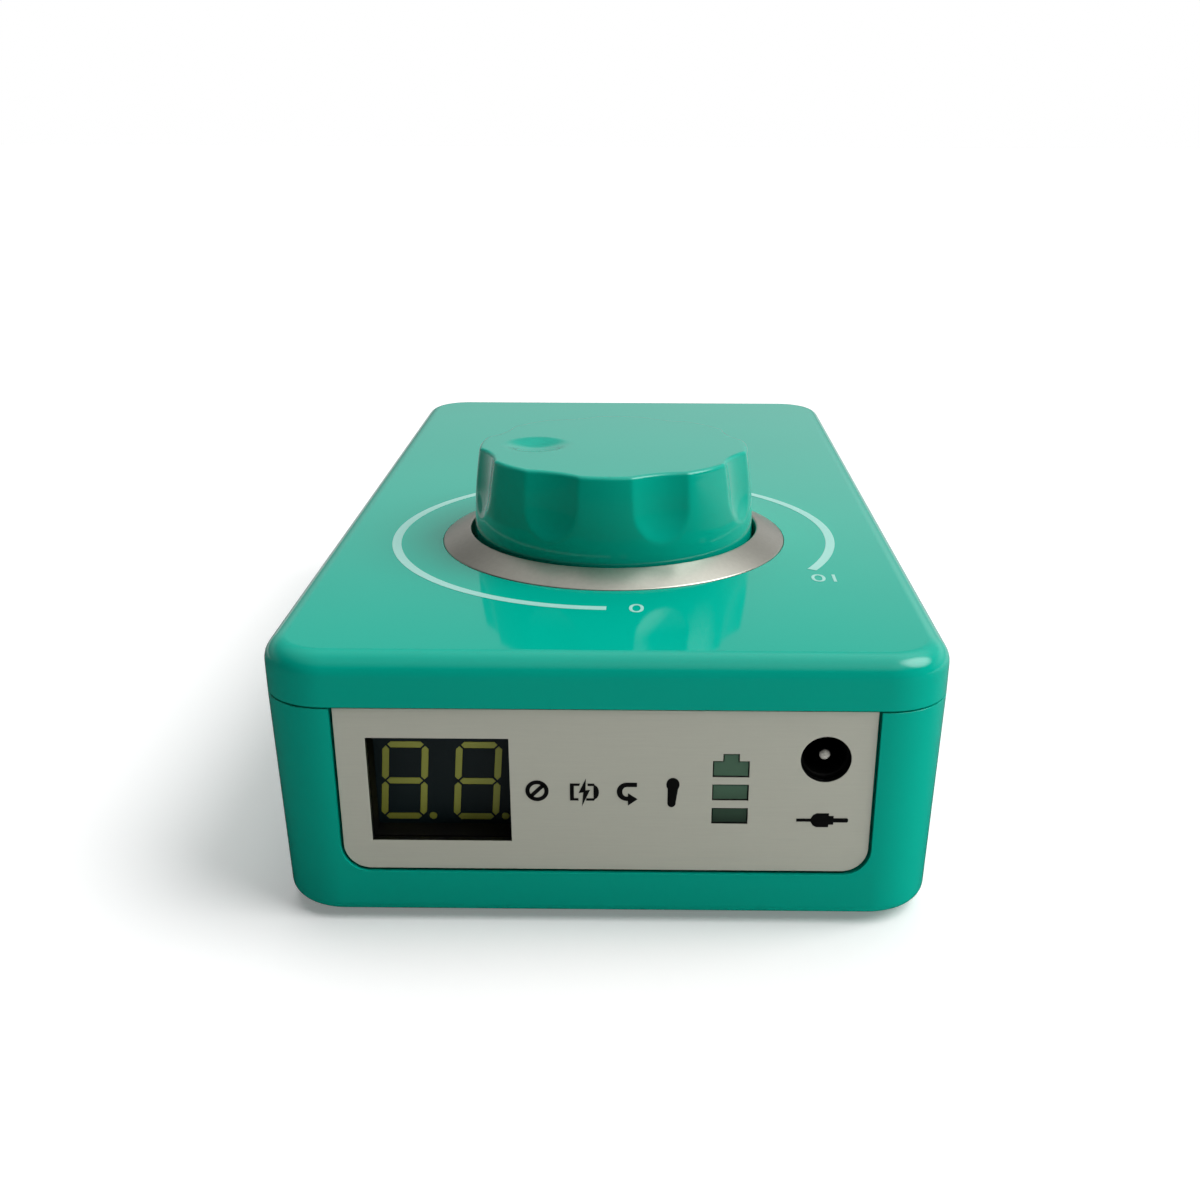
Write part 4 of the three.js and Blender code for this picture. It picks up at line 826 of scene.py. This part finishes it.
settle(scale_arc(), white_ink)
for name, words, x, y in (("scale_zero", "0", 3.0, -48.0), ("scale_ten", "10", 24.6, -37.6)):
    settle(printed_number(name, words, x * MM, y * MM), white_ink)


# Front panel

def panel_plate():
    plate = panel_blank("panel_plate", 0, PANEL_LOW.y, PANEL_HIGH.y, PANEL_HIGH.z)
    near = PANEL_LOW.y - OVER
    far = PANEL_HIGH.y + OVER
    tools = [block("window", (WINDOW_LOW.x, near, WINDOW_LOW.z), (WINDOW_HIGH.x, far, WINDOW_HIGH.z))]
    for index in (2, 3):
        low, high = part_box(f"gauge_window_{index}")
        slit_low = (low.x - LENS_SLACK, near, low.z - LENS_SLACK - SLIT_DROP)
        tools.append(block("slit", slit_low, (high.x + LENS_SLACK, far, high.z + LENS_SLACK)))
    tools.append(level_rod(JACK_HOLE, JACK_X, JACK_Z, near, far))
    carve(plate, joined("panel_openings", tools))
    carve(plate, gauge_blank("gauge_slit", LENS_SLACK, near, far))
    round_edges(plate, in_plane(1, PANEL_LOW.y), CUT_ROUND, 2, fold=1)
    return smooth(plate)


def gauge_blank(name, grow, near, far):
    """Top window of the gauge: a bar that carries the battery's tab, grown by a distance."""
    low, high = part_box("gauge_window_1")
    half = (high.x - low.x) / 2 + grow
    half_tab = 0.725 * MM
    tab_rise = 0.8 * MM
    side = half_tab + grow
    floor = low.z - grow - SLIT_DROP
    shoulder = high.z - tab_rise + grow
    top = high.z + grow
    outline = [(-half, floor), (half, floor), (half, shoulder), (side, shoulder), (side, top), (-side, top),
               (-side, shoulder), (-half, shoulder)]
    return drawn(name, outline, (middle_of("gauge_window_1")[0], near, 0), far - near)


def softened(piece, width, steps=3):
    """Rounds all sharp edges of a simple piece with a Bevel modifier."""
    modify(piece, "BEVEL", width=width, segments=steps, limit_method="ANGLE", angle_limit=math.radians(40))
    return smooth(piece)


def gauge_windows():
    """Three tinted windows, each slightly rounded at its edges."""
    low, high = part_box("gauge_window_1")
    made = [softened(gauge_blank("gauge_lens_1", 0, low.y - LENS_RISE, high.y), SEAT_ROUND)]
    for index in (2, 3):
        low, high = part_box(f"gauge_window_{index}")
        low -= Vector((0, LENS_RISE, SLIT_DROP))
        made.append(softened(block(f"gauge_lens_{index}", low, high), SEAT_ROUND))
    return made


settle(panel_plate(), brushed_film, nodes=["front_panel"])
for index, lens in enumerate(gauge_windows(), 1):
    settle(lens, green_acrylic_painted_shade, nodes=[f"gauge_window_{index}"])


# Display

DISPLAY_LOW, DISPLAY_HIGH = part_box("display_module")
FIGURE_HEIGHT = 9.1 * MM
FIGURE_WIDTH = 4.8 * MM
FIGURE_PITCH = 7.65 * MM
FIGURE_SHIFT = -0.42 * MM
FIGURE_SLANT = math.radians(4.5)
SEGMENT = 0.7 * MM
SEGMENT_GAP = 0.16 * MM
SEGMENT_DEPTH = 0.2 * MM
SEGMENT_SINK = 0.02 * MM
POCKET_SLACK = 0.06 * MM
POINT_RADIUS = 0.4 * MM
POINT_OFFSET = 0.7 * MM


def figure_segments(name, centre_x, grow, near, far):
    """The seven bars and the point of one figure, leaning a little to the right."""
    middle = Vector((centre_x, 0, middle_of("display_module")[2]))
    half_width = (FIGURE_WIDTH - SEGMENT) / 2
    half_height = (FIGURE_HEIGHT - SEGMENT) / 2
    level = [(0, half_height), (0, 0), (0, -half_height)]
    upright = [(side * half_width, rise * half_height / 2) for side in (-1, 1) for rise in (-1, 1)]
    bars = []
    for x, z in level + upright:
        lying = (x, z) in level
        reach = half_width if lying else half_height / 2
        half = SEGMENT / 2 + grow
        tip = reach - SEGMENT_GAP + grow
        outline = [(-tip, 0), (half - tip, -half), (tip - half, -half), (tip, 0), (tip - half, half),
                   (half - tip, half)]
        if not lying:
            outline = [(-v, u) for u, v in outline]
        leaning = [(x + u + (z + v) * math.tan(FIGURE_SLANT), z + v) for u, v in outline]
        bars.append(drawn(name, leaning, (middle.x, near, middle.z), far - near))
    point_z = middle.z - FIGURE_HEIGHT / 2 + POINT_RADIUS
    point_x = middle.x + FIGURE_WIDTH / 2 + POINT_OFFSET + (point_z - middle.z) * math.tan(FIGURE_SLANT)
    bars.append(level_rod(POINT_RADIUS + grow, point_x, point_z, near, far, 32))
    return joined(name, bars)


def figure_centres():
    middle = middle_of("display_module")[0] + FIGURE_SHIFT
    return [middle - FIGURE_PITCH / 2, middle + FIGURE_PITCH / 2]


def display_block():
    """Slate moulding with a pocket for each segment."""
    body = block("display_block", DISPLAY_LOW, DISPLAY_HIGH)
    face = DISPLAY_LOW.y
    for centre in figure_centres():
        carve(body, figure_segments("pockets", centre, POCKET_SLACK, face - OVER, face + SEGMENT_DEPTH))
    return smooth(body)


settle(display_block(), slate_epoxy, nodes=["display_module"])
for index, centre in enumerate(figure_centres(), 1):
    near = DISPLAY_LOW.y + SEGMENT_SINK
    figure = figure_segments(f"figure_{index}", centre, 0, near, DISPLAY_LOW.y + SEGMENT_DEPTH)
    settle(smooth(figure), olive_resin)


# Signs printed on the panel

SIGN_Z = 15.45 * MM
PLUG_SIGN_Z = 12.3 * MM


def printed(name, outline, x, z):
    """A flat print on the panel, its outline in millimetres round its middle."""
    points = [(u * MM, v * MM) for u, v in outline]
    return drawn(name, points, (x, PANEL_LOW.y - INK, z), INK)


def barred_circle(x):
    """Ring with a slanting bar."""
    radius = 1.18 * MM
    stroke = 0.42 * MM
    profile = flat_ring(radius - stroke, radius, PANEL_LOW.y - INK, PANEL_LOW.y)
    ring = turned("ring", profile, centre=(x, 0, SIGN_Z), along="y", sides=64)
    lean = math.radians(45)
    half = 0.2
    reach = 0.98
    bar = []
    for u, v in ((-reach, -half), (reach, -half), (reach, half), (-reach, half)):
        bar.append((u * math.cos(lean) - v * math.sin(lean), u * math.sin(lean) + v * math.cos(lean)))
    return joined("sign_off", [ring, printed("bar", bar, x, SIGN_Z)])


def charging_battery(x):
    """Two battery ends with a bolt between them."""
    left = [(-1.5, 0.86), (-0.46, 0.86), (-0.56, 0.6), (-1.1, 0.6), (-1.1, -0.82), (-0.66, -0.82),
            (-0.62, -1.08), (-1.5, -1.08)]
    right = [(0.3, 0.6), (0.3, 0.86), (0.95, 0.86)] + arc(0.95, -0.11, 0.5, 0.8, 80, -80, 10)
    right += [(0.95, -1.08), (0.12, -1.08), (0.16, -0.82), (0.9, -0.82), (0.9, 0.6)]
    bolt = [(0.14, 1.46), (-0.62, -0.22), (-0.14, -0.14), (-0.3, -1.76), (0.54, 0.14), (0.08, 0.08)]
    shapes = [printed("part", outline, x, SIGN_Z) for outline in (left, right, bolt)]
    return joined("sign_charging", shapes)


def turn_arrow(x):
    """Arrow that turns back on itself."""
    outer = arc(-0.12, -0.04, 1.02, 1.04, 90, 270, 16)
    inner = arc(-0.12, -0.04, 0.46, 0.56, 270, 90, 14)
    head = [(0.0, -1.08), (0.0, -1.62), (0.98, -0.88), (0.0, -0.2), (0.0, -0.6)]
    outline = [(0.92, 1.0)] + outer + head + inner + [(0.92, 0.52)]
    return printed("sign_direction", outline, x, SIGN_Z)


def shoe_sole(x):
    """Sole of a shoe, for the foot control."""
    ball = arc(0.06, 0.82, 0.67, 0.76, -38, 218, 22)
    heel = arc(-0.06, -1.3, 0.42, 0.46, 172, 368, 16)
    return printed("sign_foot", ball + heel, x, SIGN_Z)


def plug_sign():
    """Plug with one pin, seen from the side, under the motor socket."""
    half = [(-2.65, 0.17), (-1.2, 0.17), (-0.95, 0.6), (-0.6, 0.8), (0.65, 0.8), (0.65, 0.5), (1.15, 0.5),
            (1.15, 0.24), (2.55, 0.24), (2.65, 0.12)]
    outline = half + [(u, -v) for u, v in reversed(half)]
    return printed("sign_plug", outline, JACK_X, PLUG_SIGN_Z)


SIGN_PLACES = {barred_circle: -6.95, charging_battery: -2.1, turn_arrow: 2.3, shoe_sole: 6.8}
for draw_sign, millimetres in SIGN_PLACES.items():
    settle(draw_sign(millimetres * MM), black_ink)
settle(plug_sign(), black_ink)


# Sockets

def contact_pin(name, finish):
    """Round contact with a domed tip that points out of its socket."""
    node = f"{name}_jack_pin"
    low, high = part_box(node)
    outward = 1 if low.y > 0 else -1
    radius = (high.x - low.x) / 2
    foot, tip = (low.y, high.y) if outward > 0 else (high.y, low.y)
    profile = [(0, foot), (radius, foot)]
    profile += arc(0, tip - outward * radius, radius, outward * radius, 0, 80, 8) + [(0, tip)]
    x, _, z = middle_of(node)
    pin = turned(f"{name}_pin", profile, centre=(x, 0, z), along="y", sides=40)
    settle(smooth(pin, weighted=False), finish, nodes=[node])


def settle_socket(name, socket):
    settle(smooth(socket), black_polyamide, nodes=[f"{name}_jack"])


def motor_socket():
    """Block behind the panel with a deep round bore."""
    socket = block("motor_socket", JACK_LOW, JACK_HIGH)
    bore = 2.2 * MM
    bore_depth = 8.5 * MM
    mouth_round = 0.2 * MM
    near = JACK_LOW.y
    carve(socket, level_rod(bore, JACK_X, JACK_Z, near - OVER, near + bore_depth))

    def at_mouth(*ends):
        return in_plane(1, near)(*ends) and abs(ends[0].x - JACK_X) < bore + HAIR

    round_edges(socket, at_mouth, mouth_round, 3, fold=1)
    settle_socket("motor", socket)


def rear_socket(name, collar, bore, depth):
    """Socket on the power board whose collar comes out through the rear wall."""
    low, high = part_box(f"{name}_jack")
    x = middle_of(f"{name}_jack")[0]
    shoulder = FIELD_INSIDE - GAP
    socket = block(f"{name}_socket", low, (high.x, shoulder, high.z))
    carve(socket, level_rod(collar, x, FIELD_Z, shoulder - OVER, high.y), "UNION")
    carve(socket, level_rod(bore, x, FIELD_Z, high.y - depth, high.y + OVER))
    round_edges(socket, in_plane(1, high.y), COLLAR_ROUND, 3, fold=1)
    settle_socket(name, socket)


motor_socket()
# The motor contact's bright tip and dark rest are painted highlight and painted shade
contact_pin("motor", contact_painted_highlight)
rear_socket("charge", collar=3.9 * MM, bore=3.2 * MM, depth=9.5 * MM)
contact_pin("charge", nickel_plate)
rear_socket("pedal", collar=3 * MM, bore=1.8 * MM, depth=11 * MM)


# Buttons and slide tab

def push_button(name, node):
    """Button with a dished face, a flange inside the wall and a stem towards its switch."""
    low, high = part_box(node)
    flange = (high.x - low.x) / 2
    flange_thick = 0.8 * MM
    radius = flange - flange_thick
    stem = 1.4 * MM
    flange_rear = FIELD_INSIDE - GAP
    flange_front = flange_rear - flange_thick
    edge = 0.4 * MM
    dish_depth = 0.16 * MM
    half_way_depth = 0.12 * MM
    profile = [(0, low.y), (stem, low.y), (stem, flange_front), (flange, flange_front), (flange, flange_rear),
               (radius, flange_rear)]
    profile += arc(radius - edge, high.y - edge, edge, edge, 0, 90, 6)
    profile += [(radius / 2, high.y - half_way_depth), (0, high.y - dish_depth)]
    return smooth(turned(name, profile, centre=(middle_of(node)[0], 0, FIELD_Z), along="y", sides=80))


def slide_tab():
    """Tab with upright grip grooves."""
    low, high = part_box("power_tab")
    tab = block("slide_tab", low, high)
    pitch = (high.x - low.x) / 4
    half = pitch / 5
    groove_depth = 0.3 * MM
    tab_round = 0.1 * MM
    grooves = []
    for place in (1, 2, 3):
        x = low.x + pitch * place
        groove_low = (x - half, high.y - groove_depth, low.z - OVER)
        grooves.append(block("groove", groove_low, (x + half, high.y + OVER, high.z + OVER)))
    carve(tab, joined("grooves", grooves))
    return softened(tab, tab_round, 2)


for name in ("direction", "pedal_mode"):
    node = f"{name}_button"
    settle(push_button(f"{name}_cap", node), black_abs, node, [node])
settle(slide_tab(), black_abs, "power_tab", ["power_tab"])


# Parts inside, whose solids are right as they are

LAMPS = [f"sign_lamp_{n}" for n in range(1, 5)] + [f"gauge_lamp_{n}" for n in range(1, 4)]
INNER_PARTS = (
    (black_polyamide, ("light_shroud", "direction_switch", "pedal_mode_switch", "power_switch", "driver_chip",
                       "processor_chip", "charger_chip")),
    (solder_mask, ("display_board", "main_board", "power_board")),
    (white_nylon, LAMPS + ["board_plug"]),
    (zinc_steel, ("pot_shaft", "pot_body", "pot_washer", "main_board_screw_1", "main_board_screw_2",
                  "power_board_screw_1", "power_board_screw_2")),
    (turned_brass, ("pot_nut",)),
    (shrink_sleeve, ("battery_cell_1", "battery_cell_2")),
    (nickel_plate, ("link_strip", "lead_strip_1", "lead_strip_2")),
    (cell_foam, ("cell_pad",)),
    (drawn_aluminium, ("capacitor",)),
    (pressed_ferrite, ("power_coil",)),
)
for material, nodes in INNER_PARTS:
    for node in nodes:
        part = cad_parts[node]
        if not part.data.materials:
            part.data.materials.append(material)
        for slot in part.material_slots:
            slot.link = "OBJECT"
            slot.material = material


# Floor, light and camera

KEY_ELEVATION = 48  # degrees
KEY_AZIMUTH = -6


def bare_tree(owner):
    """Empty node tree of a material or a world."""
    owner.use_nodes = True
    owner.node_tree.nodes.clear()
    return owner.node_tree


def combined(tree, operation, first, second):
    return add_node(tree, "ShaderNodeMath", {0: first, 1: second}, operation=operation).outputs[0]


def towards(tree, place, way):
    """How far a place lies in a direction."""
    inputs = {0: place, 1: way}
    return add_node(tree, "ShaderNodeVectorMath", inputs, operation="DOT_PRODUCT").outputs["Value"]


def by_ray(tree, light, sight, mirror):
    """One level for light that falls on things, one for the camera and clear parts, one for reflections."""
    path = add_node(tree, "ShaderNodeLightPath").outputs
    seen = combined(tree, "MAXIMUM", path["Is Camera Ray"], path["Is Transmission Ray"])
    plain = add_node(tree, "ShaderNodeMix", {0: seen, 2: light, 3: sight})
    level = add_node(tree, "ShaderNodeMix", {0: path["Is Glossy Ray"], 2: plain.outputs[0], 3: mirror})
    return level.outputs[0]


def ramp(tree, value, start, end, low, high, kind="LINEAR"):
    """A level that goes from low to high while a value goes from start to end."""
    node = add_node(tree, "ShaderNodeMapRange", {0: value, 1: start, 2: end, 3: low, 4: high},
                    interpolation_type=kind)
    return node.outputs[0]


def aim(elevation, azimuth):
    """Direction towards a place in the room."""
    level = math.cos(math.radians(elevation))
    azimuth = math.radians(azimuth)
    return Vector((level * math.cos(azimuth), level * math.sin(azimuth), math.sin(math.radians(elevation))))


def studio_floor():
    """Pale floor that shows white with the box's soft shadow on it."""
    deselect()
    bpy.ops.mesh.primitive_plane_add(size=6)
    floor = named("studio_floor")
    material = bpy.data.materials.new("pale_floor")
    tree = bare_tree(material)
    place = add_node(tree, "ShaderNodeTexCoord").outputs["Object"]
    # Mirrored in the shells, the floor is dark in front of the box and pale behind it
    mirror = ramp(tree, towards(tree, place, (0.35, 1, 0)), -0.03, 0.12, 0.04, 0.5)
    # It throws more light up at the right than at the left
    right = add_node(tree, "ShaderNodeSeparateXYZ", {0: place}).outputs["X"]
    bounce = ramp(tree, right, -0.08, 0.08, 0.5, 1.0)
    extra = ramp(tree, right, -0.06, 0.08, 0, 0.13)
    level = by_ray(tree, bounce, 0.9, mirror)
    grey = add_node(tree, "ShaderNodeCombineColor", {channel: level for channel in range(3)})
    lit = add_node(tree, "ShaderNodeBsdfDiffuse", {"Color": grey.outputs[0]})
    glow = add_node(tree, "ShaderNodeEmission", {"Strength": by_ray(tree, extra, 0.2, 0.0)})
    both = add_node(tree, "ShaderNodeAddShader", {0: lit.outputs[0], 1: glow.outputs[0]})
    add_node(tree, "ShaderNodeOutputMaterial", {"Surface": both.outputs[0]})
    floor.data.materials.append(material)


def studio_world():
    """White surroundings to the eye, dimmer as a light, and in reflections bright low down in the rear."""
    bpy.context.scene.world = bpy.data.worlds.new("studio")
    tree = bare_tree(bpy.context.scene.world)
    way = add_node(tree, "ShaderNodeTexCoord").outputs["Generated"]
    right, back, height = add_node(tree, "ShaderNodeSeparateXYZ", {0: way}).outputs
    # The mirrored room: a wall that is bright low down in the rear, a ceiling and the key light's glint
    wall = ramp(tree, height, 0.24, 0.44, 0.6, 0.28, "SMOOTHSTEP")
    for share in (ramp(tree, height, 0.0, 0.2, 0.4, 1.0), ramp(tree, back, -0.1, 0.5, 0.06, 1.0),
                  ramp(tree, right, -0.7, 0.7, 0.5, 1.25)):
        wall = combined(tree, "MULTIPLY", wall, share)
    ceiling = ramp(tree, height, 0.5, 0.9, 0.0, 1.0, "SMOOTHSTEP")
    ceiling = combined(tree, "MULTIPLY", ceiling, ramp(tree, right, -0.3, 0.5, 0.35, 1.2, "SMOOTHSTEP"))
    key_side = towards(tree, way, aim(KEY_ELEVATION, KEY_AZIMUTH))
    glint = ramp(tree, key_side, 0.9, 0.99, 0.0, 5.0, "SMOOTHSTEP")
    mirror = combined(tree, "ADD", combined(tree, "ADD", wall, ceiling), glint)
    ambient = combined(tree, "ADD", ramp(tree, back, -0.5, 1, 0, 0.24), ramp(tree, right, -0.7, 1, 0, 0.14))
    sky = add_node(tree, "ShaderNodeBackground", {"Strength": by_ray(tree, ambient, 1.0, mirror)})
    sky.inputs["Color"].default_value = linear("#ffffff")
    add_node(tree, "ShaderNodeOutputWorld", {"Surface": sky.outputs[0]})


def soft_light(name, elevation, azimuth, strength, spread):
    """Broad soft light from far away. The surroundings, not the light itself, show in reflections."""
    lamp = bpy.data.lights.new(name, "SUN")
    lamp.energy = strength
    lamp.angle = math.radians(spread)
    light = bpy.data.objects.new(name, lamp)
    light.visible_glossy = False
    light.rotation_euler = aim(elevation, azimuth).to_track_quat("Z", "Y").to_euler()
    bpy.context.collection.objects.link(light)


def photo_camera():
    """Camera at the photograph's place, looking down at the front of the box."""
    lens = bpy.data.cameras.new("photo_camera")
    lens.sensor_width = 36
    lens.lens = 40
    lens.shift_x = -0.025
    lens.shift_y = 0.0625
    lens.clip_start = 0.01
    camera = bpy.data.objects.new("photo_camera", lens)
    turn = Matrix.Rotation(math.radians(0.54), 4, "Z")
    pitch = Matrix.Rotation(math.radians(67.01), 4, "X")
    roll = Matrix.Rotation(math.radians(0.19), 4, "Z")
    place = Matrix.Translation(Vector((3.60, -182.32, 79.27)) * MM)
    camera.matrix_world = place @ turn @ pitch @ roll
    bpy.context.collection.objects.link(camera)
    bpy.context.scene.camera = camera


studio_floor()
studio_world()
soft_light("key", KEY_ELEVATION, KEY_AZIMUTH, strength=2.4, spread=46)
soft_light("rear_fill", elevation=60, azimuth=75, strength=1.45, spread=70)
photo_camera()
bpy.context.scene.view_settings.view_transform = "Standard"
